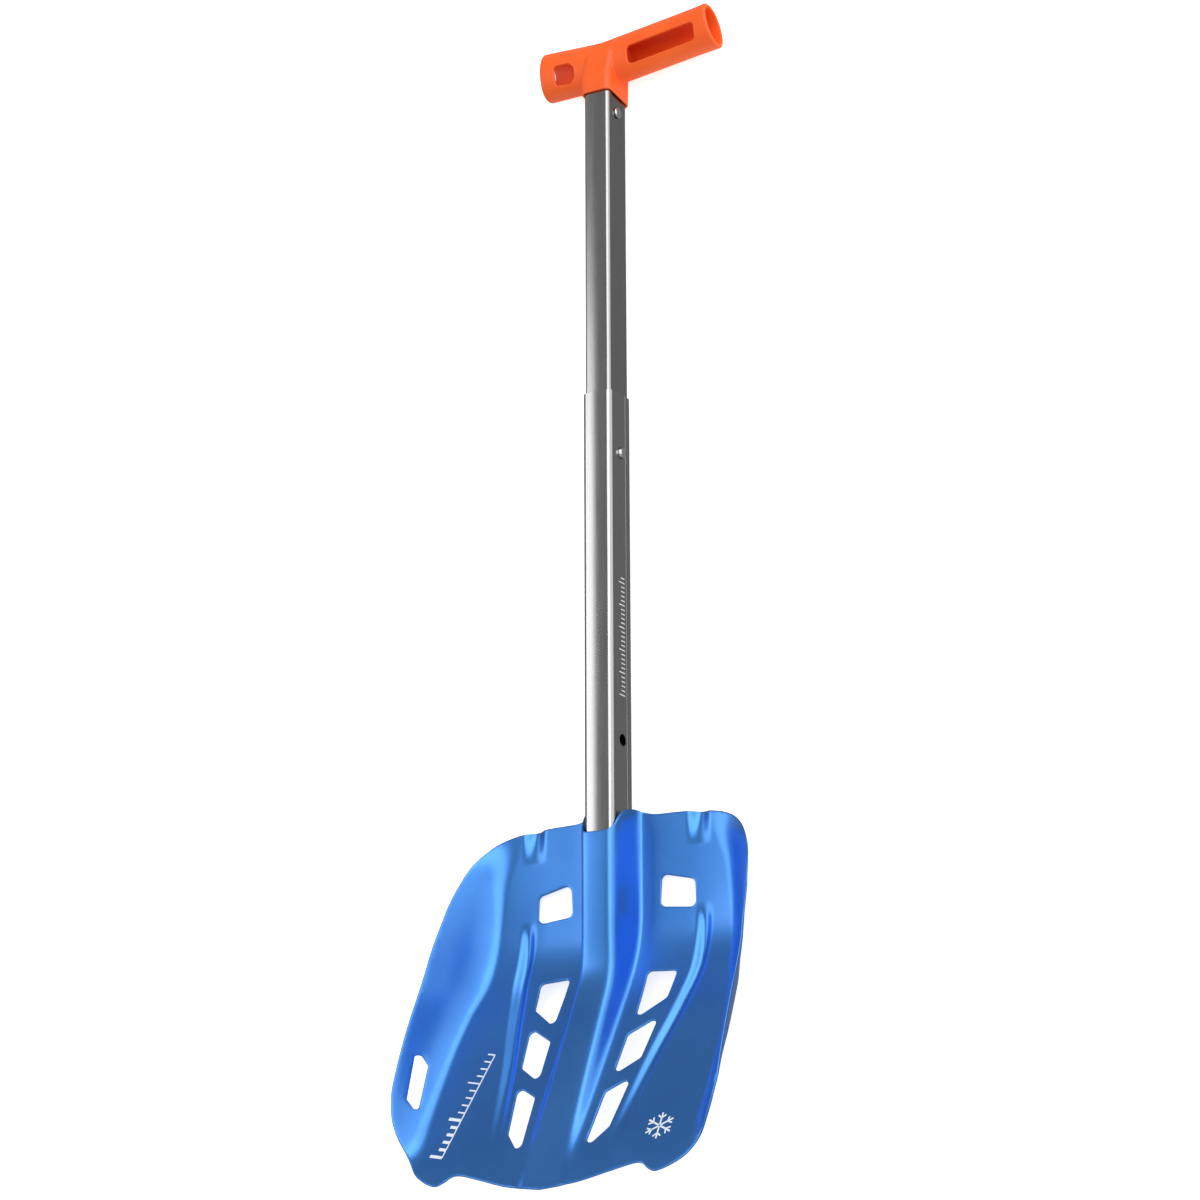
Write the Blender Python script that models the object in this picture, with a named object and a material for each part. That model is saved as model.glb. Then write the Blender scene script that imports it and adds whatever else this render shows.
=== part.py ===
"""Avalanche shovel with a telescopic shaft, lying on its back with the scoop up.

+X is across the blade, +Y runs along the shaft to the grip, +Z is the scoop side.
The origin is under the middle of the shovel, on the surface that it lies on.
Stations are distances along the shaft from the blade's tip, and heights are from
the shaft's axis. All sizes are in metres.
"""

import math

import bmesh
import bpy
from mathutils import Matrix, Vector
from mathutils.geometry import delaunay_2d_cdt

# Shaft tubes
OUTER_WIDTH = 0.0190
OUTER_DEPTH = 0.0240
OUTER_CORNER = 0.0038
TUBE_WALL = 0.0009
TUBE_GAP = 0.00025
GAP = 0.0003
OUTER_BOTTOM = 0.134
OUTER_TOP = 0.4503
# The foot of the outer tube is drawn in a little to enter the socket
FOOT_TOP = 0.212
FOOT_SHOULDER = 0.216
FOOT_DRAW = 0.00005
INNER_BOTTOM = 0.391
INNER_TOP = 0.6465
TELESCOPE_BUTTON_STATION = 0.4151
TELESCOPE_TRAVEL = 0.1654
BLADE_BUTTON_STATION = 0.172

# Button locks
BUTTON_RADIUS = 0.0030
BUTTON_HOLE_RADIUS = 0.0034
HOLE_REACH = 0.0030
BUTTON_PROUD = 0.0019
BUTTON_DOME = 0.0013
BUTTON_FLANGE_RADIUS = 0.0046
BUTTON_FLANGE = 0.0011
BLADE_BUTTON_PROUD = 0.0013
LEAF_THICKNESS = 0.0006
LEAF_WIDTH = 0.0080
LEAF_LENGTH = 0.034
LEAF_TAIL = 0.005
# The folded leaf, as (share of the near wall's place, share of the far wall's, along the tube)
LEAF_SHAPE = (
    (1, 0, -LEAF_TAIL), (1, 0, LEAF_TAIL), (0.62, 0, LEAF_LENGTH * 0.6),
    (0.2, 0, LEAF_LENGTH * 0.93), (0.5, 0.5, LEAF_LENGTH), (0, 0.4, LEAF_LENGTH * 0.93),
    (0, 0.8, LEAF_LENGTH * 0.6), (0, 1, LEAF_TAIL), (0, 1, -LEAF_TAIL),
)

# Grip
GRIP_AXIS_STATION = 0.6551
GRIP_HALF_HEIGHT = 0.0140
GRIP_HALF_DEPTH = 0.0105
GRIP_WALL = 0.0021
GRIP_LEFT_END = -0.0385
GRIP_RIGHT_END = 0.0720
GRIP_LEFT_RISE = 0.050
GRIP_RIGHT_RISE = 0.112
GRIP_BEND = 0.006
COLLAR_WALL = 0.0014
COLLAR_BOTTOM = 0.6345
COLLAR_SLANT = 0.13
# Above its mouth the collar shrinks and leans into the long arm, as
# (station, shift to the right, narrower, shallower)
COLLAR_SECTIONS = ((0.645, 0, 0, 0), (0.657, 0.002, 0, 0.002), (0.666, 0.004, 0.002, 0.008))
COLLAR_SOFTER = 0.0005
GRIP_ROOT = 0.0125
GRIP_RIM = 0.0008
GRIP_ARM_COLUMNS = (-0.024, -0.012, -0.006, 0, 0.006, 0.012, 0.024, 0.040, 0.054)
GRIP_SQUARENESS = 0.94
SPIGOT_BOTTOM = 0.612
SPIGOT_TOP = 0.650
SPIGOT_WALL = 0.0020
BORE_CORNER = 0.0008
# Holes in the front wall, as corners (x, station from the arm's axis) and one radius
LANYARD_HOLE = (
    ((-0.0286, -0.0104), (-0.0184, -0.0106), (-0.0154, -0.0076), (-0.0154, -0.0018),
     (-0.0184, 0.0012), (-0.0286, 0.0010)), 0.0022,
)
GRIP_SLOT = (((0.0201, -0.0092), (0.0638, -0.0092), (0.0638, 0.0012), (0.0201, 0.0012)), 0.0024)
FRONT_WALL = (0.0020, 0.0200)
END_SLANT = (0.0, 0.20)
LEFT_FLARE = 0.15
PLUG_FLANGE = 0.0045
PLUG_STUB = 0.0100
PLUG_WALL = 0.0022
RIVET_STATION = 0.6233
RIVET_SHANK = 0.0020
RIVET_HEAD = 0.0034
RIVET_RISE = 0.0012

# Blade sheet
SHEET = 0.0012
PANEL_LEVEL = -0.0082
BEND_START = 0.1638
BEND_LENGTH = 0.0618
LIFT_SLOPE = 0.61
RIDGE_LEVEL = 0.0137
RIDGE_BEND = 0.120
RIDGE_SLOPE = 0.49
RIDGE_SOFTNESS = 0.011
RIDGE_HALF_WIDTH = 0.0121
RIDGE_WALL_SOFTNESS = 0.0010
RIDGE_CROWN = 0.0005
RIDGE_FOOT = 0.0009
RIDGE_FOOT_REACH = 0.006
WING_SOFTNESS = 0.0075
DISH_START = 0.058
DISH_SOFTNESS = 0.016
DISH_SLOPE = 0.13
DISH_MIDDLE = 0.120
DISH_REACH = 0.130

PLATE_THICKNESS = 0.0012
PLATE_BOTTOM = 0.1420
PLATE_TOP = 0.2065
PLATE_HALF_WIDTH = 0.0215
PLATE_SIDE = 0.0112
PLATE_SIDE_SOFTNESS = 0.0009
BACK_LEVEL = -0.0135

# The blade's grid of inner points
RIM_CLEAR = 0.0022
WALL_COLUMNS = (-2.6, -1.5, -0.7, 0, 0.8, 1.8, 3.2, 5)
PANEL_COLUMNS = (0.0215, 0.0950, 14)
BLADE_ROWS = (0.004, 0.207, 26)
PLATE_COLUMNS = (-3.5, -2, -1, 0, 1, 2, 3.5)
PLATE_ROWS = 8

# Half outline of the blade, as (x, station) from the middle of the cutting edge up
# the side to the socket's lip
HALF_OUTLINE = (
    (0.0000, 0.0000), (0.0200, 0.0026), (0.0380, 0.0073), (0.0510, 0.0106),
    (0.0565, 0.0104), (0.0600, 0.0078), (0.0645, 0.0058), (0.0690, 0.0066),
    (0.0750, 0.0094), (0.0817, 0.0146), (0.0889, 0.0260), (0.0950, 0.0400),
    (0.0978, 0.0540), (0.0981, 0.0700), (0.0978, 0.0950), (0.0968, 0.1250),
    (0.0940, 0.1550), (0.0898, 0.1770), (0.0845, 0.1900), (0.0770, 0.1990),
    (0.0680, 0.2040), (0.0560, 0.2066), (0.0400, 0.2078), (0.0250, 0.2082),
    (0.0170, 0.2100), (0.0138, 0.2112), (0.0120, 0.2098), (0.0108, 0.2050),
    (0.0096, 0.2005), (0.0070, 0.1980), (0.0000, 0.1975),
)
# Cut-outs of the right half, as corners (x, station) and one corner radius each
CUT_OUTS = (
    (((0.0284, 0.1746), (0.0274, 0.1570), (0.0490, 0.1548), (0.0486, 0.1698)), 0.0032),
    (((0.0240, 0.1208), (0.0250, 0.0930), (0.0405, 0.1040), (0.0422, 0.1196)), 0.0024),
    (((0.0236, 0.0840), (0.0226, 0.0610), (0.0362, 0.0698), (0.0392, 0.0932)), 0.0024),
    (((0.0212, 0.0518), (0.0190, 0.0195), (0.0303, 0.0320), (0.0342, 0.0590)), 0.0024),
    (((0.0945, 0.0835), (0.0900, 0.0745), (0.0886, 0.0470), (0.0934, 0.0550)), 0.0010),
)
# Height of the wing's edge over the panel, as (station, height)
WING_RISE = (
    (0.000, 0.0), (0.012, 0.0), (0.025, 0.005), (0.039, 0.015), (0.055, 0.0225),
    (0.081, 0.0293), (0.106, 0.0340), (0.132, 0.0350), (0.160, 0.0269),
    (0.184, 0.0145), (0.196, 0.0076), (0.205, 0.0035), (0.214, 0.0),
)
# Where the wing folds up from the panel, as (station, x)
WING_FOLD = (
    (0.000, 0.0820), (0.016, 0.0835), (0.046, 0.0866), (0.076, 0.0872), (0.103, 0.0850),
    (0.121, 0.0805), (0.145, 0.0785), (0.175, 0.0750), (0.200, 0.0660), (0.214, 0.0620),
)
WING_EDGE = (
    (0.000, 0.0900), (0.025, 0.0900), (0.040, 0.0950), (0.055, 0.0978), (0.095, 0.0978),
    (0.125, 0.0968), (0.155, 0.0940), (0.177, 0.0898), (0.196, 0.0810), (0.214, 0.0740),
)
# The pressed groove beside the cut-outs, as (station, x, depth)
GROOVE_LINE = (
    (0.020, 0.0350, 0.0), (0.040, 0.0385, 0.0010), (0.070, 0.0440, 0.0020),
    (0.100, 0.0510, 0.0026), (0.125, 0.0550, 0.0030), (0.146, 0.0550, 0.0018),
    (0.158, 0.0545, 0.0),
)
GROOVE_HALF_WIDTH = 0.0050
NOTCH_X = 0.0515
NOTCH_HALF_WIDTH = 0.0075
NOTCH_DEPTH = 0.0042
NOTCH_END = 0.188
BLADE_TOP = 0.207

TOTAL_LENGTH = 0.6768
SHAFT_AXIS_Z = -BACK_LEVEL
MID_STATION = TOTAL_LENGTH / 2

BLUE = (0.055, 0.215, 0.640, 1.0)
ALUMINIUM = (0.42, 0.42, 0.43, 1.0)
STEEL = (0.62, 0.62, 0.64, 1.0)
ORANGE = (0.90, 0.115, 0.012, 1.0)
BLACK = (0.02, 0.02, 0.022, 1.0)


def clear_scene():
    for item in list(bpy.data.objects):
        bpy.data.objects.remove(item)


def material(name, colour, roughness, metallic):
    made = bpy.data.materials.new(name)
    made.use_nodes = True
    shader = made.node_tree.nodes["Principled BSDF"]
    shader.inputs["Base Color"].default_value = colour
    shader.inputs["Roughness"].default_value = roughness
    shader.inputs["Metallic"].default_value = metallic
    return made


def place(x, station, height):
    """World place of a point given from the shaft's axis."""
    return Vector((x, station - MID_STATION, height + SHAFT_AXIS_Z))


def pivot(name, station):
    empty = bpy.data.objects.new(name, None)
    empty.location = place(0, station, 0)
    empty.empty_display_size = 0.01
    bpy.context.collection.objects.link(empty)
    return empty


def add_object(name, mesh, finish, parent=None, smooth_angle=35):
    """Puts a mesh made in world places into the scene, with its origin on its parent's."""
    piece = bpy.data.objects.new(name, mesh)
    bpy.context.collection.objects.link(piece)
    if parent:
        mesh.transform(Matrix.Translation(-parent.location))
        piece.parent = parent
    if finish:
        mesh.materials.append(finish)
    mesh.shade_smooth()
    mesh.set_sharp_from_angle(angle=math.radians(smooth_angle))
    return piece


def mesh_of(name, bm):
    """The finished mesh, with its faces pointing out."""
    bmesh.ops.recalc_face_normals(bm, faces=bm.faces)
    if bm.calc_volume(signed=True) < 0:
        bmesh.ops.reverse_faces(bm, faces=bm.faces)
    mesh = bpy.data.meshes.new(name)
    bm.to_mesh(mesh)
    bm.free()
    return mesh


def cut(piece, cutter, operation="DIFFERENCE"):
    """Applies a Boolean, so that later cuts see its result, and removes the cutter."""
    cutter.hide_render = True
    cutter.display_type = "WIRE"
    modifier = piece.modifiers.new(cutter.name, "BOOLEAN")
    modifier.operation = operation
    modifier.solver = "EXACT"
    modifier.object = cutter
    bpy.context.view_layer.update()
    result = bpy.data.meshes.new_from_object(piece.evaluated_get(bpy.context.evaluated_depsgraph_get()))
    piece.modifiers.remove(modifier)
    piece.data = result
    bpy.data.objects.remove(cutter)


def rounded_rectangle(width, depth, radius, steps=5):
    """Points of a rounded rectangle across the shaft, anticlockwise seen from the grip."""
    points = []
    for corner in range(4):
        cx = (width / 2 - radius) * (1, -1, -1, 1)[corner]
        cz = (depth / 2 - radius) * (1, 1, -1, -1)[corner]
        for step in range(steps + 1):
            angle = math.pi / 2 * (corner + step / steps)
            points.append((cx + radius * math.cos(angle), cz + radius * math.sin(angle)))
    return points


def loft(name, rings, closed=False):
    """A closed mesh through rings of the same count of points, capped unless it closes on itself."""
    bm = bmesh.new()
    loops = [[bm.verts.new(point) for point in ring] for ring in rings]
    pairs = list(zip(loops[:-1], loops[1:]))
    if closed:
        pairs.append((loops[-1], loops[0]))
    for low, high in pairs:
        for i in range(len(low)):
            j = (i + 1) % len(low)
            bm.faces.new((low[i], low[j], high[j], high[i]))
    if not closed:
        bm.faces.new(loops[0])
        bm.faces.new(loops[-1])
    return mesh_of(name, bm)


def bar(name, width, depth, radius, low, high, steps=5):
    """A solid bar of rounded section along the shaft, between two stations."""
    section = rounded_rectangle(width, depth, radius, steps)
    rings = [[place(x, station, z) for x, z in section] for station in (low, high)]
    return loft(name, rings)


def tube(name, width, depth, radius, outside):
    """A tube along the shaft, whose outside has a ring of (station, how far drawn in) each."""
    rings = []
    for station, draw in outside:
        section = rounded_rectangle(width - 2 * draw, depth - 2 * draw, radius - draw)
        rings.append([place(x, station, z) for x, z in section])
    bore = rounded_rectangle(width - 2 * TUBE_WALL, depth - 2 * TUBE_WALL, radius - TUBE_WALL)
    for station in (outside[-1][0], outside[0][0]):
        rings.append([place(x, station, z) for x, z in bore])
    return loft(name, rings, closed=True)


def rod(name, radius, start, end, sides=20):
    """A cylinder between two world points."""
    axis = end - start
    bm = bmesh.new()
    bmesh.ops.create_cone(
        bm, cap_ends=True, segments=sides, radius1=radius, radius2=radius, depth=axis.length
    )
    turn = axis.to_track_quat("Z", "Y").to_matrix().to_4x4()
    bm.transform(Matrix.Translation((start + end) / 2) @ turn)
    return mesh_of(name, bm)


def turned(name, profile, start, direction, sides=20):
    """A turned solid: profile holds (distance along direction, radius), from tip to tip."""
    turn = direction.to_track_quat("Z", "Y").to_matrix()
    bm = bmesh.new()
    loops = []
    for along, radius in profile:
        if radius == 0:
            loops.append([bm.verts.new(start + direction * along)] * sides)
            continue
        ring = []
        for i in range(sides):
            angle = 2 * math.pi * i / sides
            offset = turn @ Vector((radius * math.cos(angle), radius * math.sin(angle), 0))
            ring.append(bm.verts.new(start + direction * along + offset))
        loops.append(ring)
    for low, high in zip(loops[:-1], loops[1:]):
        for i in range(sides):
            j = (i + 1) % sides
            corners = (low[i], low[j], high[j], high[i])
            bm.faces.new(list(dict.fromkeys(corners)))
    return mesh_of(name, bm)


# ---- curves ----


def hermite(points, at):
    """A smooth curve through (at, value...) points, without overshoot, read at one place."""
    if at <= points[0][0]:
        return points[0][1:]
    if at >= points[-1][0]:
        return points[-1][1:]
    i = next(k for k in range(len(points) - 1) if at <= points[k + 1][0])
    span = points[i + 1][0] - points[i][0]
    t = (at - points[i][0]) / span
    values = []
    for column in range(1, len(points[0])):
        chords = [
            (points[k + 1][column] - points[k][column]) / (points[k + 1][0] - points[k][0])
            if 0 <= k < len(points) - 1
            else 0
            for k in (i - 1, i, i + 1)
        ]
        starts = 0 if chords[0] * chords[1] <= 0 else 2 / (1 / chords[0] + 1 / chords[1])
        ends = 0 if chords[1] * chords[2] <= 0 else 2 / (1 / chords[1] + 1 / chords[2])
        values.append(
            points[i][column] * (2 * t**3 - 3 * t**2 + 1)
            + points[i + 1][column] * (3 * t**2 - 2 * t**3)
            + span * starts * (t**3 - 2 * t**2 + t)
            + span * ends * (t**3 - t**2)
        )
    return values


def through(points, steps):
    """A rounded line through points: a Catmull-Rom curve with this many steps a span."""
    line = []
    for i in range(len(points) - 1):
        before = points[max(i - 1, 0)]
        after = points[min(i + 2, len(points) - 1)]
        for step in range(steps):
            t = step / steps
            line.append(
                tuple(
                    0.5 * (2 * b + (c - a) * t + (2 * a - 5 * b + 4 * c - d) * t**2
                           + (3 * b - a - 3 * c + d) * t**3)
                    for a, b, c, d in zip(before, points[i], points[i + 1], after)
                )
            )
    line.append(points[-1])
    return line


def soft_ramp(value, softness):
    """Zero below, value above, and a parabola between."""
    if value <= -softness:
        return 0.0
    if value >= softness:
        return value
    return (value + softness) ** 2 / (4 * softness)


def bump(value):
    """1 in the middle, falling smoothly to 0 at -1 and 1."""
    return (1 - value * value) ** 2 if abs(value) < 1 else 0.0


# ---- blade ----


def panel_level(station):
    """The panel is flat beside the socket, then bends forward into a straight slope."""
    u = (BEND_START - station) / BEND_LENGTH
    if u <= 0:
        return PANEL_LEVEL
    eased = min(u, 1)
    return PANEL_LEVEL + LIFT_SLOPE * BEND_LENGTH * (eased**3 - eased**4 / 2 + max(u - 1, 0))


def ridge_level(station):
    return RIDGE_LEVEL + RIDGE_SLOPE * soft_ramp(RIDGE_BEND - station, RIDGE_SOFTNESS)


def wing_level(x, station):
    """The panel dishes gently before it folds up into the wing."""
    dish = DISH_SLOPE * bump((station - DISH_MIDDLE) / DISH_REACH)
    fold = hermite(WING_FOLD, station)[0]
    edge = hermite(WING_EDGE, station)[0]
    rise = max(hermite(WING_RISE, station)[0] - dish * (edge - DISH_START), 0)
    folded = rise / (edge - fold) * soft_ramp(x - fold, WING_SOFTNESS)
    return folded + dish * soft_ramp(x - DISH_START, DISH_SOFTNESS)


def blade_level(x, station):
    """Height of the middle of the blade's sheet over the shaft's axis."""
    x = abs(x)
    panel = panel_level(station)
    wall = (1 - math.tanh((x - RIDGE_HALF_WIDTH) / (2 * RIDGE_WALL_SOFTNESS))) / 2
    ridge = max(ridge_level(station) - panel, 0)
    ridge -= RIDGE_CROWN * min(x / RIDGE_HALF_WIDTH, 1) ** 2
    foot = RIDGE_FOOT * math.exp(-max(x - RIDGE_HALF_WIDTH, 0) / RIDGE_FOOT_REACH)
    level = panel + ridge * wall + foot * (1 - wall) + wing_level(x, station)
    groove_x, groove_depth = hermite(GROOVE_LINE, station)
    level -= groove_depth * bump((x - groove_x) / GROOVE_HALF_WIDTH)
    depth = NOTCH_DEPTH * max(station - NOTCH_END, 0) / (BLADE_TOP - NOTCH_END)
    return level - depth * bump((x - NOTCH_X) / NOTCH_HALF_WIDTH)


def blade_normal(x, station):
    step = 0.0002
    across = (blade_level(x + step, station) - blade_level(x - step, station)) / (2 * step)
    along = (blade_level(x, station + step) - blade_level(x, station - step)) / (2 * step)
    return Vector((-across, -along, 1)).normalized()


def rounded_polygon(corners, radius, steps):
    """Corner points replaced by arcs that touch both sides."""
    line = []
    count = len(corners)
    for i, corner in enumerate(corners):
        here = Vector(corner)
        back = (Vector(corners[i - 1]) - here).normalized()
        ahead = (Vector(corners[(i + 1) % count]) - here).normalized()
        half = back.angle(ahead) / 2
        centre = here + (back + ahead).normalized() * radius / math.sin(half)
        reach = radius / math.tan(half)
        start, end = here + back * reach - centre, here + ahead * reach - centre
        turn = start.angle_signed(end)
        for step in range(steps + 1):
            t = step / steps
            line.append(tuple(centre + Matrix.Rotation(-turn * t, 2) @ start))
    return line


def mirrored(line):
    return [(-x, station) for x, station in reversed(line)]


def blade_outline(steps):
    half = through(HALF_OUTLINE, steps)
    return half + mirrored(half)[1:-1]


def blade_plan(outline_steps, corner_steps, columns, rows):
    """Triangles of the blade's plan, from its outline, its cut-outs and a grid of inner points."""
    loops = [blade_outline(outline_steps)]
    for corners, radius in CUT_OUTS:
        line = rounded_polygon(corners, radius, corner_steps)
        loops += [line, mirrored(line)]
    points, edges = [], []
    for loop in loops:
        first = len(points)
        points += [Vector(point) for point in loop]
        edges += [(first + i, first + (i + 1) % len(loop)) for i in range(len(loop))]
    rim = list(points)
    for station in rows:
        for column in columns:
            for x in {column, -column}:
                point = Vector((x, station))
                if inside_plan(point, loops) and min((point - other).length for other in rim) > RIM_CLEAR:
                    points.append(point)
    scale = 1000
    verts, _, faces, *_ = delaunay_2d_cdt([p * scale for p in points], edges, [], 0, 1e-5)
    verts = [v / scale for v in verts]
    kept = [f for f in faces if inside_plan(sum((verts[i] for i in f), Vector((0, 0))) / 3, loops)]
    return verts, kept


def inside(point, loop):
    crossings = 0
    for i, (x0, y0) in enumerate(loop):
        x1, y1 = loop[(i + 1) % len(loop)]
        if (y0 > point.y) != (y1 > point.y):
            crossings += point.x < x0 + (point.y - y0) / (y1 - y0) * (x1 - x0)
    return crossings % 2 == 1


def inside_plan(point, loops):
    return inside(point, loops[0]) and not any(inside(point, loop) for loop in loops[1:])


def sheet_mesh(name, plan, level, normal, thickness):
    """A sheet of even thickness about a surface given over its plan."""
    verts, faces = plan
    bm = bmesh.new()
    sides = []
    for side in (0.5, -0.5):
        row = []
        for x, station in verts:
            middle = place(x, station, level(x, station))
            row.append(bm.verts.new(middle + normal(x, station) * thickness * side))
        sides.append(row)
    top, bottom = sides
    used = {}
    for face in faces:
        bm.faces.new([top[i] for i in face])
        bm.faces.new([bottom[i] for i in reversed(face)])
        for i in range(3):
            edge = (face[i], face[(i + 1) % 3])
            used[edge] = used.get(edge, 0) + 1
    for a, b in used:
        if (b, a) not in used:
            bm.faces.new((top[b], top[a], bottom[a], bottom[b]))
    loose = [v for v in bm.verts if not v.link_faces]
    bmesh.ops.delete(bm, geom=loose, context="VERTS")
    return mesh_of(name, bm)


def spaced(low, high, count):
    return [low + (high - low) * i / count for i in range(count + 1)]


def make_blade(finish, parent):
    wall = [RIDGE_HALF_WIDTH + RIDGE_WALL_SOFTNESS * k for k in WALL_COLUMNS]
    columns = [0, RIDGE_HALF_WIDTH / 3, RIDGE_HALF_WIDTH * 2 / 3] + wall + spaced(*PANEL_COLUMNS)
    plan = blade_plan(2, 3, columns, spaced(*BLADE_ROWS))
    mesh = sheet_mesh("blade", plan, blade_level, blade_normal, SHEET)
    return add_object("blade", mesh, finish, parent)


def plate_level(x, station):
    """The saddle behind the shaft: flanges against the panel, and a trough round the tube."""
    flange = panel_level(station) - (SHEET + PLATE_THICKNESS) / 2 - GAP
    trough = BACK_LEVEL + PLATE_THICKNESS / 2
    share = (1 - math.tanh((abs(x) - PLATE_SIDE) / (2 * PLATE_SIDE_SOFTNESS))) / 2
    return flange + (trough - flange) * share


def make_back_plate(finish, parent):
    side = [PLATE_SIDE + PLATE_SIDE_SOFTNESS * k for k in PLATE_COLUMNS]
    columns = [0, PLATE_SIDE / 3] + side + [(side[-1] + PLATE_HALF_WIDTH) / 2, PLATE_HALF_WIDTH]
    across = sorted({x for column in columns for x in (column, -column)})
    rings = []
    for station in spaced(PLATE_BOTTOM, PLATE_TOP, PLATE_ROWS):
        half = PLATE_THICKNESS / 2
        ring = [place(x, station, plate_level(x, station) + half) for x in across]
        ring += [place(x, station, plate_level(x, station) - half) for x in reversed(across)]
        rings.append(ring)
    plate = add_object("socket_back_plate", loft("socket_back_plate", rings), finish, parent)
    cut(plate, add_object("hole", back_hole(BUTTON_HOLE_RADIUS, BLADE_BUTTON_STATION), None))
    return seated(plate, parent)


# ---- shaft ----


def seated(piece, parent):
    """A piece that a Boolean has remade stays on its parent, with its edges shaded again."""
    piece.data.shade_smooth()
    piece.data.set_sharp_from_angle(angle=math.radians(35))
    piece.parent = parent
    return piece


def inner_size():
    shrink = 2 * (TUBE_WALL + TUBE_GAP)
    return OUTER_WIDTH - shrink, OUTER_DEPTH - shrink, OUTER_CORNER - TUBE_WALL - TUBE_GAP


def joined(name, meshes):
    """One mesh that holds separate closed bodies, such as all of a piece's drilled holes."""
    bm = bmesh.new()
    for mesh in meshes:
        bm.from_mesh(mesh)
    return mesh_of(name, bm)


def side_hole(radius, station, start, end):
    return rod("side_hole", radius, place(start, station, 0), place(end, station, 0))


def back_hole(radius, station):
    start, end = BACK_LEVEL - HOLE_REACH, HOLE_REACH - OUTER_DEPTH / 2
    return rod("back_hole", radius, place(0, station, start), place(0, station, end))


def make_outer_tube(finish, parent):
    foot = ((OUTER_BOTTOM, FOOT_DRAW), (FOOT_TOP, FOOT_DRAW))
    outside = foot + ((FOOT_SHOULDER, 0), (OUTER_TOP, 0))
    mesh = tube("outer_tube", OUTER_WIDTH, OUTER_DEPTH, OUTER_CORNER, outside)
    piece = add_object("outer_tube", mesh, finish, parent)
    lower = TELESCOPE_BUTTON_STATION - TELESCOPE_TRAVEL
    side = OUTER_WIDTH / 2
    holes = [
        side_hole(BUTTON_HOLE_RADIUS, at, side - HOLE_REACH, side + HOLE_REACH)
        for at in (TELESCOPE_BUTTON_STATION, lower)
    ]
    holes.append(back_hole(BUTTON_HOLE_RADIUS, BLADE_BUTTON_STATION))
    cut(piece, add_object("holes", joined("holes", holes), None))
    return seated(piece, parent)


def make_inner_tube(finish, parent):
    width, depth, corner = inner_size()
    mesh = tube("inner_tube", width, depth, corner, ((INNER_BOTTOM, 0), (INNER_TOP, 0)))
    piece = add_object("inner_tube", mesh, finish, parent)
    holes = [
        side_hole(BUTTON_HOLE_RADIUS, TELESCOPE_BUTTON_STATION, width / 2 - HOLE_REACH, width),
        side_hole(RIVET_SHANK + GAP, RIVET_STATION, -width, width),
    ]
    cut(piece, add_object("holes", joined("holes", holes), None))
    return seated(piece, parent)


def make_end_plug(finish, parent):
    """The sliding plug in the inner tube's lower end, which keeps it from rattling."""
    width, depth, corner = inner_size()
    flange = bar("flange", width, depth, corner, INNER_BOTTOM - GAP - PLUG_FLANGE, INNER_BOTTOM - GAP)
    piece = add_object("inner_tube_end_plug", flange, finish, parent)
    shrink = 2 * (TUBE_WALL + GAP)
    stub = bar("stub", width - shrink, depth - shrink, corner - TUBE_WALL,
               INNER_BOTTOM - PLUG_FLANGE / 2, INNER_BOTTOM + PLUG_STUB)
    cut(piece, add_object("stub", stub, None, parent), "UNION")
    shrink += 2 * PLUG_WALL
    bore = bar("bore", width - shrink, depth - shrink, BORE_CORNER,
               INNER_BOTTOM - 2 * PLUG_STUB, INNER_BOTTOM + 2 * PLUG_STUB)
    cut(piece, add_object("bore", bore, None, parent))
    return seated(piece, parent)


def button_profile(length):
    """(distance, radius) along a sprung button, from its flange to its domed end."""
    profile = [(0, 0), (0, BUTTON_FLANGE_RADIUS), (BUTTON_FLANGE, BUTTON_FLANGE_RADIUS)]
    profile.append((BUTTON_FLANGE, BUTTON_RADIUS))
    steps = 5
    for step in range(steps + 1):
        angle = math.pi / 2 * step / steps
        along = length - BUTTON_DOME * (1 - math.sin(angle))
        profile.append((along, BUTTON_RADIUS * math.cos(angle) if step < steps else 0))
    return profile


def telescope_button_base():
    return inner_size()[0] / 2 - TUBE_WALL - GAP - BUTTON_FLANGE


def blade_button_base():
    return OUTER_DEPTH / 2 - TUBE_WALL - GAP - BUTTON_FLANGE


def make_telescope_button(finish, parent):
    base = telescope_button_base()
    start = place(base, TELESCOPE_BUTTON_STATION, 0)
    profile = button_profile(OUTER_WIDTH / 2 + BUTTON_PROUD - base)
    return add_object("telescope_button", turned("telescope_button", profile, start, Vector((1, 0, 0))),
                      finish, parent)


def make_blade_button(finish, parent):
    base = blade_button_base()
    start = place(0, BLADE_BUTTON_STATION, -base)
    profile = button_profile(OUTER_DEPTH / 2 + BLADE_BUTTON_PROUD - base)
    return add_object("blade_button", turned("blade_button", profile, start, Vector((0, 0, -1))),
                      finish, parent)


def leaf_spring(name, base, wall, station, outward):
    """A folded leaf: one leg under the button, the bend up the tube, the other on the far wall."""
    near = base - GAP - LEAF_THICKNESS / 2
    far = -(wall - GAP - LEAF_THICKNESS / 2)
    route = through([(near * here + far * there, along) for here, there, along in LEAF_SHAPE], 4)
    across = outward.cross(Vector((0, 1, 0))) * LEAF_WIDTH / 2
    rings = []
    for i, (out, along) in enumerate(route):
        before, after = route[max(i - 1, 0)], route[min(i + 1, len(route) - 1)]
        ahead = outward * (after[0] - before[0]) + Vector((0, after[1] - before[1], 0))
        side = ahead.normalized().cross(across.normalized()) * LEAF_THICKNESS / 2
        middle = place(0, station + along, 0) + outward * out
        rings.append([middle + across + side, middle + across - side,
                      middle - across - side, middle - across + side])
    return loft(name, rings)


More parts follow.
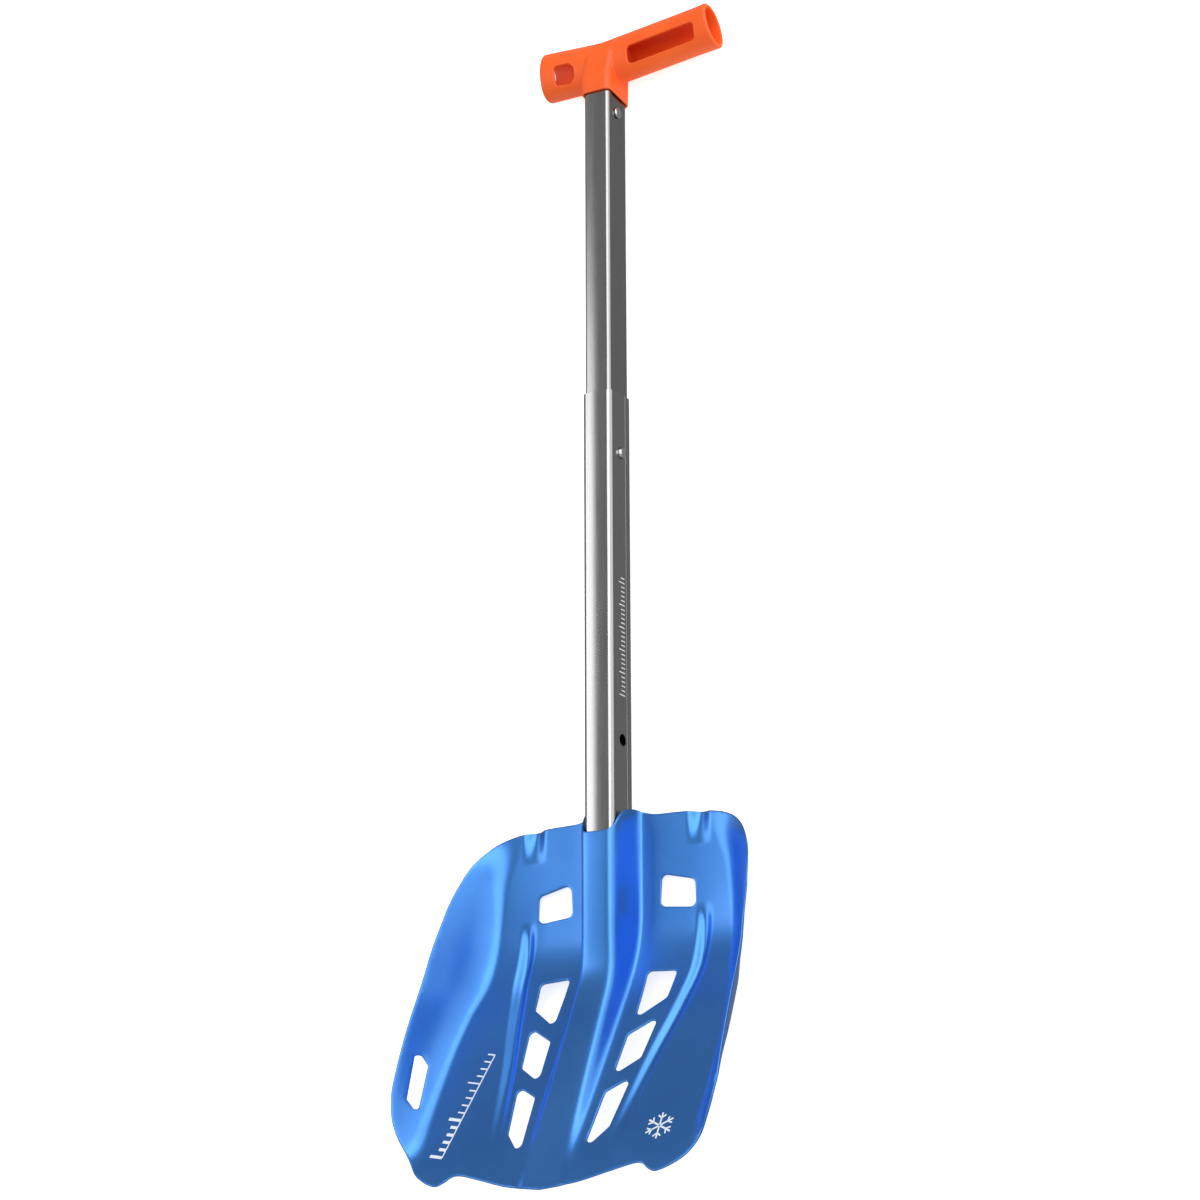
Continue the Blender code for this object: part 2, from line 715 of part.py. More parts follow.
def make_springs(finish, inner, outer):
    width = inner_size()[0]
    mesh = leaf_spring("telescope_button_spring", telescope_button_base(), width / 2 - TUBE_WALL,
                       TELESCOPE_BUTTON_STATION, Vector((1, 0, 0)))
    add_object("telescope_button_spring", mesh, finish, inner)
    mesh = leaf_spring("blade_button_spring", blade_button_base(), OUTER_DEPTH / 2 - TUBE_WALL,
                       BLADE_BUTTON_STATION, Vector((0, 0, -1)))
    add_object("blade_button_spring", mesh, finish, outer)


# ---- grip ----


def grip_station(x):
    """The grip's arms rise a little to both sides, more to the long one."""
    rise = GRIP_RIGHT_RISE if x > 0 else GRIP_LEFT_RISE
    return GRIP_AXIS_STATION + rise * soft_ramp(abs(x), GRIP_BEND)


def grip_ring(x, shrink, slant, points=28):
    """A section of an arm. The short arm's underside flares toward its end."""
    ring = []
    flare = 1 + LEFT_FLARE * max(x / GRIP_LEFT_END, 0)
    for i in range(points):
        angle = 2 * math.pi * i / points
        along, height = math.cos(angle), math.sin(angle)
        along = math.copysign(abs(along) ** GRIP_SQUARENESS, along)
        height = math.copysign(abs(height) ** GRIP_SQUARENESS, height)
        along *= (GRIP_HALF_HEIGHT - shrink) * (flare if along < 0 else 1)
        height *= GRIP_HALF_DEPTH - shrink
        ring.append(place(x - slant * along, grip_station(x) + along, height))
    return ring


def grip_arms():
    left, right = END_SLANT
    columns = [(GRIP_LEFT_END, GRIP_RIM, left), (GRIP_LEFT_END + GRIP_RIM, 0, left)]
    columns += [(x, 0, 0) for x in GRIP_ARM_COLUMNS]
    columns += [(GRIP_RIGHT_END - GRIP_RIM, 0, right), (GRIP_RIGHT_END, GRIP_RIM, right)]
    return loft("grip", [grip_ring(x, shrink, slant) for x, shrink, slant in columns])


def collar():
    """The sleeve that the shaft enters. Its mouth slants, lower at the back."""
    width, depth, corner = inner_size()
    width += 2 * (GAP + COLLAR_WALL)
    depth += 2 * (GAP + COLLAR_WALL)
    corner += GAP + COLLAR_WALL
    mouth = rounded_rectangle(width, depth, corner)
    rings = [[place(x, COLLAR_BOTTOM - COLLAR_SLANT * (depth / 2 - z), z) for x, z in mouth]]
    for station, shift, narrower, shallower in COLLAR_SECTIONS:
        section = rounded_rectangle(width - narrower, depth - shallower, corner - COLLAR_SOFTER)
        rings.append([place(x + shift, station, z) for x, z in section])
    return loft("collar", rings)


def arm_bore(name, columns):
    return loft(name, [grip_ring(x, GRIP_WALL, 0) for x in columns])


def front_hole(name, corners, radius, steps=4):
    """A prism through the front wall of an arm, whose corners follow the arm's axis."""
    line = rounded_polygon([(x, grip_station(x) + along) for x, along in corners], radius, steps)
    return loft(name, [[place(x, station, height) for x, station in line] for height in FRONT_WALL])


def make_grip(finish, parent):
    width, depth, corner = inner_size()
    piece = add_object("grip", grip_arms(), finish, parent)
    cut(piece, add_object("collar", collar(), None, parent), "UNION")
    past = 2 * GRIP_HALF_HEIGHT
    left = (GRIP_LEFT_END - past, 2 * GRIP_LEFT_END / 3, -GRIP_ROOT)
    cut(piece, add_object("left", arm_bore("left", left), None, parent))
    right = (GRIP_ROOT, GRIP_RIGHT_END / 2, GRIP_RIGHT_END, GRIP_RIGHT_END + past)
    cut(piece, add_object("right", arm_bore("right", right), None, parent))
    below = SPIGOT_BOTTOM - past
    space = bar("space", width + 2 * GAP, depth + 2 * GAP, corner + GAP, below, INNER_TOP + GAP)
    cut(piece, add_object("space", space, None, parent))
    shrink = 2 * (TUBE_WALL + GAP)
    spigot = bar("spigot", width - shrink, depth - shrink, corner - TUBE_WALL, SPIGOT_BOTTOM, SPIGOT_TOP)
    cut(piece, add_object("spigot", spigot, None, parent), "UNION")
    shrink += 2 * SPIGOT_WALL
    bore = bar("bore", width - shrink, depth - shrink, BORE_CORNER, below, INNER_TOP)
    cut(piece, add_object("bore", bore, None, parent))
    hole = side_hole(RIVET_SHANK + GAP, RIVET_STATION, -OUTER_DEPTH, OUTER_DEPTH)
    cut(piece, add_object("hole", hole, None, parent))
    cut(piece, add_object("lanyard", front_hole("lanyard", *LANYARD_HOLE), None, parent))
    cut(piece, add_object("slot", front_hole("slot", *GRIP_SLOT), None, parent))
    return seated(piece, parent)


def make_rivet(finish, parent):
    """A through rivet with a low domed head at each end."""
    seat = inner_size()[0] / 2 + GAP
    tip = seat + RIVET_RISE
    dome = (RIVET_RISE / 3, RIVET_HEAD * 0.75)
    profile = [(0, 0), dome, (RIVET_RISE, RIVET_HEAD), (RIVET_RISE, RIVET_SHANK)]
    profile += [(tip + seat, RIVET_SHANK), (tip + seat, RIVET_HEAD)]
    profile += [(2 * tip - dome[0], dome[1]), (2 * tip, 0)]
    mesh = turned("grip_rivet", profile, place(-tip, RIVET_STATION, 0), Vector((1, 0, 0)), 16)
    return add_object("grip_rivet", mesh, finish, parent)


def main():
    clear_scene()
    blue = material("blue_anodised", BLUE, 0.35, 0.85)
    aluminium = material("satin_aluminium", ALUMINIUM, 0.38, 0.95)
    steel = material("bright_steel", STEEL, 0.22, 1.0)
    orange = material("orange_plastic", ORANGE, 0.42, 0.0)
    black = material("black_plastic", BLACK, 0.5, 0.0)

    outer = pivot("outer_shaft", OUTER_TOP)
    inner = pivot("telescope_slide_axis", TELESCOPE_BUTTON_STATION)
    seat = pivot("blade_slide_axis", OUTER_BOTTOM)
    press = pivot("telescope_button_axis", TELESCOPE_BUTTON_STATION)
    blade_press = pivot("blade_button_axis", BLADE_BUTTON_STATION)

    make_blade(blue, seat)
    make_back_plate(blue, seat)
    make_outer_tube(aluminium, outer)
    make_inner_tube(aluminium, inner)
    make_end_plug(black, inner)
    make_grip(orange, inner)
    make_rivet(steel, inner)
    make_telescope_button(steel, press)
    make_blade_button(steel, blade_press)
    make_springs(steel, inner, outer)


main()
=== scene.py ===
"""The finished look of an avalanche shovel that lies on its back with the scoop up.

Stations are distances along the shaft from the blade's tip, and heights are from the
shaft's axis, as in the CAD model. All sizes are in metres.
"""

import math

import bmesh
import bpy
import numpy as np
from mathutils import Matrix, Vector
from mathutils.geometry import delaunay_2d_cdt


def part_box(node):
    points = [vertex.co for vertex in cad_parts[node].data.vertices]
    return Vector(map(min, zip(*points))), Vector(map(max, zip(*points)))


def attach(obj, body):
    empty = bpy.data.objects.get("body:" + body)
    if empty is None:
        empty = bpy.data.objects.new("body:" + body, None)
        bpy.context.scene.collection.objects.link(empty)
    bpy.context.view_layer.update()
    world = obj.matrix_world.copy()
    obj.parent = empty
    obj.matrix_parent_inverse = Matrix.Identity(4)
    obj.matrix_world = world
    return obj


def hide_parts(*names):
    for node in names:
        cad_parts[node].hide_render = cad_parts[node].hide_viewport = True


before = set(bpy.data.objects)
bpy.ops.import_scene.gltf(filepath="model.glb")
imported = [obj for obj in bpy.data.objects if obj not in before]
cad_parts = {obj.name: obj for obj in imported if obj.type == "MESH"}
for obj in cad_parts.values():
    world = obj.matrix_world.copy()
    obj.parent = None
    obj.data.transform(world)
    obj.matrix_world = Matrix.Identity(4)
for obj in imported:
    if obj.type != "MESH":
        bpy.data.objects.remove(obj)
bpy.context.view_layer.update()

# Shaft tubes
OUTER_WIDTH = 0.0190
OUTER_DEPTH = 0.0240
OUTER_CORNER = 0.0038
TUBE_WALL = 0.0009
TUBE_GAP = 0.00025
GAP = 0.0003
OUTER_BOTTOM = 0.134
OUTER_TOP = 0.4503
INNER_BOTTOM = 0.391
INNER_TOP = 0.6465
TELESCOPE_BUTTON_STATION = 0.4151
TELESCOPE_TRAVEL = 0.1654
BLADE_BUTTON_STATION = 0.172
TUBE_CHAMFER = 0.00018
# A tube's bore is cut this far past its ends
BORE_REACH = 0.01
# Drills for the holes run between these distances from the shaft's axis
HOLE_REACH = 0.012
OUTER_DRILL_START = 0.006
INNER_DRILL_START = 0.005
BACK_DRILL = (-0.016, -0.009)
# How far a tube's flat faces are crowned, and its sides' shallow channel
CROWN = 0.00030
FACE_STEPS = 40
SIDE_RECESS = 0.00035
RECESS_FRONT = 0.0056
RECESS_BACK = -0.0042
RECESS_EDGE = 0.00036

# Button locks
BUTTON_RADIUS = 0.0030
BUTTON_HOLE_RADIUS = 0.0034
BUTTON_PROUD = 0.0019
BUTTON_DOME = 0.0013
BUTTON_FLANGE_RADIUS = 0.0046
BUTTON_FLANGE = 0.0011
BUTTON_EDGE = 0.0002
BLADE_BUTTON_PROUD = 0.0013
LEAF_THICKNESS = 0.0006
LEAF_WIDTH = 0.0080
LEAF_LENGTH = 0.034
LEAF_TAIL = 0.005
# The folded leaf, as (share of the near wall's place, share of the far wall's, along the tube)
LEAF_SHAPE = (
    (1, 0, -LEAF_TAIL), (1, 0, LEAF_TAIL), (0.62, 0, LEAF_LENGTH * 0.6),
    (0.2, 0, LEAF_LENGTH * 0.93), (0.5, 0.5, LEAF_LENGTH), (0, 0.4, LEAF_LENGTH * 0.93),
    (0, 0.8, LEAF_LENGTH * 0.6), (0, 1, LEAF_TAIL), (0, 1, -LEAF_TAIL),
)
LEAF_STEPS = 10

# Grip
GRIP_AXIS_STATION = 0.6551
GRIP_HALF_HEIGHT = 0.0140
GRIP_HALF_DEPTH = 0.0105
GRIP_WALL = 0.0021
GRIP_LEFT_END = -0.0385
GRIP_RIGHT_END = 0.0720
GRIP_LEFT_RISE = 0.050
GRIP_RIGHT_RISE = 0.112
GRIP_BEND = 0.006
# An arm's section is a little squarer than an ellipse
GRIP_SQUARENESS = 0.94
# Rounding of the arms' ends, as (distance from the end, how much smaller)
END_ROUNDING = ((0, 0.0009), (0.0003, 0.0004), (0.0009, 0))
ARM_SECTIONS = (-0.030, 0.060, 0.002)
LEFT_BORE = (-0.060, -0.030)
RIGHT_BORE = (0.030, 0.060, 0.090)
GRIP_VOXEL = 0.00042
GRIP_SMOOTHING = 6
COLLAR_WALL = 0.0014
COLLAR_BOTTOM = 0.6345
COLLAR_CORNER_EASE = 0.0005
COLLAR_SLANT = 0.13
# Above its mouth the collar shrinks and leans into the long arm, as
# (station, shift to the right, narrower, shallower)
COLLAR_SECTIONS = ((0.645, 0, 0, 0), (0.657, 0.002, 0, 0.002), (0.666, 0.004, 0.002, 0.008))
GRIP_ROOT = 0.0125
SPIGOT_BOTTOM = 0.612
SPIGOT_WALL = 0.0020
SPIGOT_TOP = 0.650
SPIGOT_BORE_CORNER = 0.0008
SPIGOT_BORE_START = 0.590
# Holes in the front wall, as corners (x, station from the arm's axis) and one radius
LANYARD_HOLE = (
    ((-0.0286, -0.0104), (-0.0184, -0.0106), (-0.0154, -0.0076), (-0.0154, -0.0018),
     (-0.0184, 0.0012), (-0.0286, 0.0010)), 0.0022,
)
GRIP_SLOT = (((0.0201, -0.0092), (0.0638, -0.0092), (0.0638, 0.0012), (0.0201, 0.0012)), 0.0024)
FRONT_WALL = (0.0020, 0.0200)
END_SLANT = (0.0, 0.20)
LEFT_FLARE = 0.15
PLUG_FLANGE = 0.0045
PLUG_STUB = 0.0100
PLUG_CHAMFER = 0.0006
PLUG_OVERLAP = 0.002
PLUG_WALL = 0.0022
PLUG_BORE_CORNER = 0.001
PLUG_BORE_REACH = 0.02
RIVET_STATION = 0.6233
RIVET_SHANK = 0.0020
RIVET_HEAD = 0.0034
RIVET_HEAD_HEIGHT = 0.0012

# Blade sheet
SHEET = 0.0012
RIM_ROUND = 0.0004
PANEL_LEVEL = -0.0082
BEND_START = 0.1638
BEND_LENGTH = 0.0618
LIFT_SLOPE = 0.61
RIDGE_LEVEL = 0.0137
RIDGE_BEND = 0.120
RIDGE_SLOPE = 0.49
RIDGE_SOFTNESS = 0.011
RIDGE_HALF_WIDTH = 0.0121
RIDGE_WALL_SOFTNESS = 0.0010
RIDGE_CROWN = 0.0005
RIDGE_FOOT = 0.0009
RIDGE_FOOT_REACH = 0.006
WING_SOFTNESS = 0.0075
PLATE_THICKNESS = 0.0012
PLATE_BOTTOM = 0.1420
PLATE_TOP = 0.2065
PLATE_HALF_WIDTH = 0.0215
PLATE_SIDE = 0.0112
PLATE_SIDE_SOFTNESS = 0.0009
PLATE_CORNER = 0.004
BACK_LEVEL = -0.0135

# Half outline of the blade, as (x, station) from the middle of the cutting edge up
# the side to the socket's lip
HALF_OUTLINE = (
    (0.0000, 0.0000), (0.0200, 0.0026), (0.0380, 0.0073), (0.0510, 0.0106),
    (0.0565, 0.0104), (0.0600, 0.0078), (0.0645, 0.0058), (0.0690, 0.0066),
    (0.0750, 0.0094), (0.0817, 0.0146), (0.0889, 0.0260), (0.0950, 0.0400),
    (0.0978, 0.0540), (0.0981, 0.0700), (0.0978, 0.0950), (0.0968, 0.1250),
    (0.0940, 0.1550), (0.0898, 0.1770), (0.0845, 0.1900), (0.0770, 0.1990),
    (0.0680, 0.2040), (0.0560, 0.2066), (0.0400, 0.2078), (0.0250, 0.2082),
    (0.0170, 0.2100), (0.0138, 0.2112), (0.0120, 0.2098), (0.0108, 0.2050),
    (0.0096, 0.2005), (0.0070, 0.1980), (0.0000, 0.1975),
)
# Cut-outs of the right half, as corners (x, station) and one corner radius each
CUT_OUTS = (
    (((0.0284, 0.1746), (0.0274, 0.1570), (0.0490, 0.1548), (0.0486, 0.1698)), 0.0032),
    (((0.0240, 0.1208), (0.0250, 0.0930), (0.0405, 0.1040), (0.0422, 0.1196)), 0.0024),
    (((0.0236, 0.0840), (0.0226, 0.0610), (0.0362, 0.0698), (0.0392, 0.0932)), 0.0024),
    (((0.0212, 0.0518), (0.0190, 0.0195), (0.0303, 0.0320), (0.0342, 0.0590)), 0.0024),
    (((0.0945, 0.0835), (0.0900, 0.0745), (0.0886, 0.0470), (0.0934, 0.0550)), 0.0010),
)
# Height of the wing's edge over the panel, as (station, height)
WING_RISE = (
    (0.000, 0.0), (0.012, 0.0), (0.025, 0.005), (0.039, 0.015), (0.055, 0.0225),
    (0.081, 0.0293), (0.106, 0.0340), (0.132, 0.0350), (0.160, 0.0269),
    (0.184, 0.0145), (0.196, 0.0076), (0.205, 0.0035), (0.214, 0.0),
)
# Where the wing folds up from the panel, as (station, x)
WING_FOLD = (
    (0.000, 0.0820), (0.016, 0.0835), (0.046, 0.0866), (0.076, 0.0872), (0.103, 0.0850),
    (0.121, 0.0805), (0.145, 0.0785), (0.175, 0.0750), (0.200, 0.0660), (0.214, 0.0620),
)
WING_EDGE = (
    (0.000, 0.0900), (0.025, 0.0900), (0.040, 0.0950), (0.055, 0.0978), (0.095, 0.0978),
    (0.125, 0.0968), (0.155, 0.0940), (0.177, 0.0898), (0.196, 0.0810), (0.214, 0.0740),
)
# The pressed groove beside the cut-outs, as (station, x, depth)
GROOVE_LINE = (
    (0.020, 0.0350, 0.0), (0.040, 0.0385, 0.0010), (0.070, 0.0440, 0.0020),
    (0.100, 0.0510, 0.0026), (0.125, 0.0550, 0.0030), (0.146, 0.0550, 0.0018),
    (0.158, 0.0545, 0.0),
)
GROOVE_HALF_WIDTH = 0.0050
DISH_START = 0.058
DISH_SOFTNESS = 0.016
DISH_SLOPE = 0.13
DISH_MIDDLE = 0.120
DISH_REACH = 0.130
NOTCH_X = 0.0515
NOTCH_HALF_WIDTH = 0.0075
NOTCH_DEPTH = 0.0042
NOTCH_END = 0.188
BLADE_TOP = 0.207
# Grids of the sheets, as spans (low, high, pitch) right of the middle, fine at the ridge's walls
BLADE_COLUMNS = ((0.0010, 0.0085, 0.0011), (0.0089, 0.0168, 0.00034), (0.0178, 0.0975, 0.0011))
PLATE_COLUMNS = ((0.0010, 0.0075, 0.0011), (0.0079, 0.0150, 0.00034), (0.0160, 0.0210, 0.0010))
BLADE_ROWS = (0.001, 0.2105, 0.0016)
PLATE_ROWS = (PLATE_BOTTOM + 0.001, PLATE_TOP - 0.001, 0.0016)
OUTLINE_PITCH = 0.0012
CUT_OUT_PITCH = 0.0007
PLATE_OUTLINE_PITCH = 0.0010
BLADE_RIM_GAP = 0.0005
PLATE_RIM_GAP = 0.0004
RIM_STEPS = 5

# Printed marks. Each pair is (every fifth tick, the others) or (the lower ticks, the others)
PRINT_TOP = 0.00005
PRINT_SUNK = -0.00012
LONG_TICK_EVERY = 5
BLADE_SCALE_ENDS = ((-0.0665, 0.0215), (-0.0560, 0.0790))
BLADE_SCALE_LINE = 0.0007
BLADE_SCALE_TICKS = 15
BLADE_TICK_LENGTHS = (0.0080, 0.0045)
BLADE_TICK_WIDTHS = (0.0016, 0.0008)
WIDE_TICKS = 6
SNOW_CENTRE = (0.0605, 0.0300)
SNOW_HUB = 0.0006
SNOW_ARM = 0.0082
SNOW_ARM_WIDTH = 0.0009
SNOW_FORK_SHARE = 0.58
SNOW_TWIG = 0.0030
SNOW_TWIG_WIDTH = 0.0008
SNOW_TWIG_ANGLE = math.pi / 3.6
SHAFT_SCALE_START = 0.275
SHAFT_SCALE_LENGTH = 0.067
SHAFT_SCALE_TICKS = 27
SHAFT_TICK_FOOT = -0.0030
SHAFT_TICK_LENGTHS = (0.0038 * 1.6, 0.0024 * 1.6)
SHAFT_TICK_WIDTH = 0.0006

SHAFT_AXIS_Z = (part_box("outer_tube")[0].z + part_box("outer_tube")[1].z) / 2
MID_STATION = OUTER_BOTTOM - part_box("outer_tube")[0].y
CURVE_STEP = 0.00025
CURVE_STATIONS = np.arange(0, 0.216, CURVE_STEP)


# ---- shared helpers ----


def place(x, station, height):
    return Vector((x, station - MID_STATION, height + SHAFT_AXIS_Z))


def places(x, station, height):
    """World places of arrays of points, one row each."""
    return np.stack((x, station - MID_STATION, height + SHAFT_AXIS_Z), axis=1)


def new_piece(name, mesh, finish, body, node=None, smooth_angle=40):
    piece = bpy.data.objects.new(name, mesh)
    bpy.context.collection.objects.link(piece)
    mesh.materials.clear()
    mesh.materials.append(finish)
    mesh.shade_smooth()
    mesh.set_sharp_from_angle(angle=math.radians(smooth_angle))
    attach(piece, body)
    if node:
        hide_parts(node)
    return piece


def closed_mesh(name, bm):
    bmesh.ops.recalc_face_normals(bm, faces=bm.faces)
    if bm.calc_volume(signed=True) < 0:
        bmesh.ops.reverse_faces(bm, faces=bm.faces)
    mesh = bpy.data.meshes.new(name)
    bm.to_mesh(mesh)
    bm.free()
    return mesh


def temporary(mesh):
    piece = bpy.data.objects.new(mesh.name, mesh)
    bpy.context.collection.objects.link(piece)
    return piece


def evaluated(piece):
    """The mesh of a temporary object with its modifiers applied."""
    bpy.context.view_layer.update()
    graph = bpy.context.evaluated_depsgraph_get()
    mesh = bpy.data.meshes.new_from_object(piece.evaluated_get(graph))
    bpy.data.objects.remove(piece)
    return mesh


def combined(mesh, other, operation):
    """One mesh cut by, or joined to, another."""
    base, tool = temporary(mesh), temporary(other)
    modifier = base.modifiers.new("cut", "BOOLEAN")
    modifier.operation = operation
    modifier.solver = "EXACT"
    modifier.object = tool
    result = evaluated(base)
    bpy.data.objects.remove(tool)
    return result


def merged(name, meshes):
    bm = bmesh.new()
    for mesh in meshes:
        bm.from_mesh(mesh)
    return closed_mesh(name, bm)


def rounded_rectangle(width, depth, radius, steps=10):
    points = []
    for corner in range(4):
        cx = (width / 2 - radius) * (1, -1, -1, 1)[corner]
        cz = (depth / 2 - radius) * (1, 1, -1, -1)[corner]
        for step in range(steps + 1):
            angle = math.pi / 2 * (corner + step / steps)
            points.append((cx + radius * math.cos(angle), cz + radius * math.sin(angle)))
    return points


def loft(name, rings, closed=False):
    bm = bmesh.new()
    loops = [[bm.verts.new(point) for point in ring] for ring in rings]
    pairs = list(zip(loops[:-1], loops[1:]))
    if closed:
        pairs.append((loops[-1], loops[0]))
    for low, high in pairs:
        for i in range(len(low)):
            j = (i + 1) % len(low)
            bm.faces.new((low[i], low[j], high[j], high[i]))
    if not closed:
        bm.faces.new(loops[0])
        bm.faces.new(loops[-1])
    return closed_mesh(name, bm)


def bar(name, width, depth, radius, low, high):
    section = rounded_rectangle(width, depth, radius)
    return loft(name, [[place(x, station, z) for x, z in section] for station in (low, high)])


def rod(name, radius, start, end, sides=48):
    axis = end - start
    bm = bmesh.new()
    bmesh.ops.create_cone(
        bm, cap_ends=True, segments=sides, radius1=radius, radius2=radius, depth=axis.length
    )
    turn = axis.to_track_quat("Z", "Y").to_matrix().to_4x4()
    bm.transform(Matrix.Translation((start + end) / 2) @ turn)
    return closed_mesh(name, bm)


def turned(name, profile, start, direction, sides=48):
    turn = direction.to_track_quat("Z", "Y").to_matrix()
    bm = bmesh.new()
    loops = []
    for along, radius in profile:
        if radius == 0:
            loops.append([bm.verts.new(start + direction * along)] * sides)
            continue
        ring = []
        for i in range(sides):
            angle = 2 * math.pi * i / sides
            offset = turn @ Vector((radius * math.cos(angle), radius * math.sin(angle), 0))
            ring.append(bm.verts.new(start + direction * along + offset))
        loops.append(ring)
    for low, high in zip(loops[:-1], loops[1:]):
        for i in range(sides):
            j = (i + 1) % sides
            bm.faces.new(list(dict.fromkeys((low[i], low[j], high[j], high[i]))))
    return closed_mesh(name, bm)


def hermite(points, at):
    """A smooth curve through (at, value...) points, without overshoot, read at one place."""
    if at <= points[0][0]:
        return points[0][1:]
    if at >= points[-1][0]:
        return points[-1][1:]
    i = next(k for k in range(len(points) - 1) if at <= points[k + 1][0])
    span = points[i + 1][0] - points[i][0]
    t = (at - points[i][0]) / span
    values = []
    for column in range(1, len(points[0])):
        chords = [
            (points[k + 1][column] - points[k][column]) / (points[k + 1][0] - points[k][0])
            if 0 <= k < len(points) - 1
            else 0
            for k in (i - 1, i, i + 1)
        ]
        starts = 0 if chords[0] * chords[1] <= 0 else 2 / (1 / chords[0] + 1 / chords[1])
        ends = 0 if chords[1] * chords[2] <= 0 else 2 / (1 / chords[1] + 1 / chords[2])
        values.append(
            points[i][column] * (2 * t**3 - 3 * t**2 + 1)
            + points[i + 1][column] * (3 * t**2 - 2 * t**3)
            + span * starts * (t**3 - 2 * t**2 + t)
            + span * ends * (t**3 - t**2)
        )
    return values


def curve_reader(points, column=0):
    """The same smooth curve, read at an array of stations."""
    table = np.array([hermite(points, at)[column] for at in CURVE_STATIONS])
    return lambda station: np.interp(station, CURVE_STATIONS, table)


def through(points, steps):
    line = []
    for i in range(len(points) - 1):
        before = points[max(i - 1, 0)]
        after = points[min(i + 2, len(points) - 1)]
        for step in range(steps):
            t = step / steps
            line.append(
                tuple(
                    0.5 * (2 * b + (c - a) * t + (2 * a - 5 * b + 4 * c - d) * t**2
                           + (3 * b - a - 3 * c + d) * t**3)
                    for a, b, c, d in zip(before, points[i], points[i + 1], after)
                )
            )
    line.append(points[-1])
    return line


def soft_ramp(value, softness):
    return np.where(
        value <= -softness, 0.0,
        np.where(value >= softness, value, (value + softness) ** 2 / (4 * softness)),
    )


def bump(value):
    return np.where(np.abs(value) < 1, (1 - value * value) ** 2, 0.0)


# ---- blade ----

wing_fold = curve_reader(WING_FOLD)
wing_edge = curve_reader(WING_EDGE)
wing_rise = curve_reader(WING_RISE)
groove_x = curve_reader(GROOVE_LINE, 0)
groove_depth = curve_reader(GROOVE_LINE, 1)


def panel_level(station):
    u = (BEND_START - station) / BEND_LENGTH
    eased = np.clip(u, 0, 1)
    rise = eased**3 - eased**4 / 2 + np.maximum(u - 1, 0)
    return PANEL_LEVEL + LIFT_SLOPE * BEND_LENGTH * rise


def ridge_level(station):
    return RIDGE_LEVEL + RIDGE_SLOPE * soft_ramp(RIDGE_BEND - station, RIDGE_SOFTNESS)


def blade_level(x, station):
    """Height of the middle of the blade's sheet over the shaft's axis."""
    x = np.abs(x)
    panel = panel_level(station)
    wall = (1 - np.tanh((x - RIDGE_HALF_WIDTH) / (2 * RIDGE_WALL_SOFTNESS))) / 2
    ridge = np.maximum(ridge_level(station) - panel, 0)
    ridge -= RIDGE_CROWN * np.minimum(x / RIDGE_HALF_WIDTH, 1) ** 2
    foot = RIDGE_FOOT * np.exp(-np.maximum(x - RIDGE_HALF_WIDTH, 0) / RIDGE_FOOT_REACH)
    level = panel + ridge * wall + foot * (1 - wall)
    dish = DISH_SLOPE * bump(np.clip((station - DISH_MIDDLE) / DISH_REACH, -1, 1))
    fold, edge = wing_fold(station), wing_edge(station)
    slope = np.maximum(wing_rise(station) - dish * (edge - DISH_START), 0) / (edge - fold)
    level += slope * soft_ramp(x - fold, WING_SOFTNESS)
    level += dish * soft_ramp(x - DISH_START, DISH_SOFTNESS)
    level -= groove_depth(station) * bump((x - groove_x(station)) / GROOVE_HALF_WIDTH)
    depth = NOTCH_DEPTH * np.maximum(station - NOTCH_END, 0) / (BLADE_TOP - NOTCH_END)
    return level - depth * bump((x - NOTCH_X) / NOTCH_HALF_WIDTH)


def plate_level(x, station):
    flange = panel_level(station) - (SHEET + PLATE_THICKNESS) / 2 - GAP
    trough = BACK_LEVEL + PLATE_THICKNESS / 2
    share = (1 - np.tanh((np.abs(x) - PLATE_SIDE) / (2 * PLATE_SIDE_SOFTNESS))) / 2
    return flange + (trough - flange) * share


def surface_normals(level, x, station, step=0.0002):
    across = (level(x + step, station) - level(x - step, station)) / (2 * step)
    along = (level(x, station + step) - level(x, station - step)) / (2 * step)
    normals = np.stack((-across, -along, np.ones_like(across)), axis=1)
    return normals / np.linalg.norm(normals, axis=1, keepdims=True)


def on_surface(level, plan, offset):
    """World places at an offset from a sheet's middle surface."""
    x, station = plan[:, 0], plan[:, 1]
    normals = surface_normals(level, x, station)
    return places(x, station, level(x, station)) + normals * offset


def rounded_polygon(corners, radius, steps):
    line = []
    count = len(corners)
    for i, corner in enumerate(corners):
        here = Vector(corner)
        back = (Vector(corners[i - 1]) - here).normalized()
        ahead = (Vector(corners[(i + 1) % count]) - here).normalized()
        half = back.angle(ahead) / 2
        centre = here + (back + ahead).normalized() * radius / math.sin(half)
        reach = radius / math.tan(half)
        start, end = here + back * reach - centre, here + ahead * reach - centre
        turn = start.angle_signed(end)
        for step in range(steps + 1):
            t = step / steps
            line.append(tuple(centre + Matrix.Rotation(-turn * t, 2) @ start))
    return line


def mirrored(line):
    return [(-x, station) for x, station in reversed(line)]


def even_loop(line, spacing):
    """A closed line with points a steady distance apart."""
    points = np.array(line + [line[0]])
    along = np.concatenate(([0], np.cumsum(np.linalg.norm(np.diff(points, axis=0), axis=1))))
    at = np.linspace(0, along[-1], max(int(along[-1] / spacing), 12), endpoint=False)
    return np.stack((np.interp(at, along, points[:, 0]), np.interp(at, along, points[:, 1])), 1)


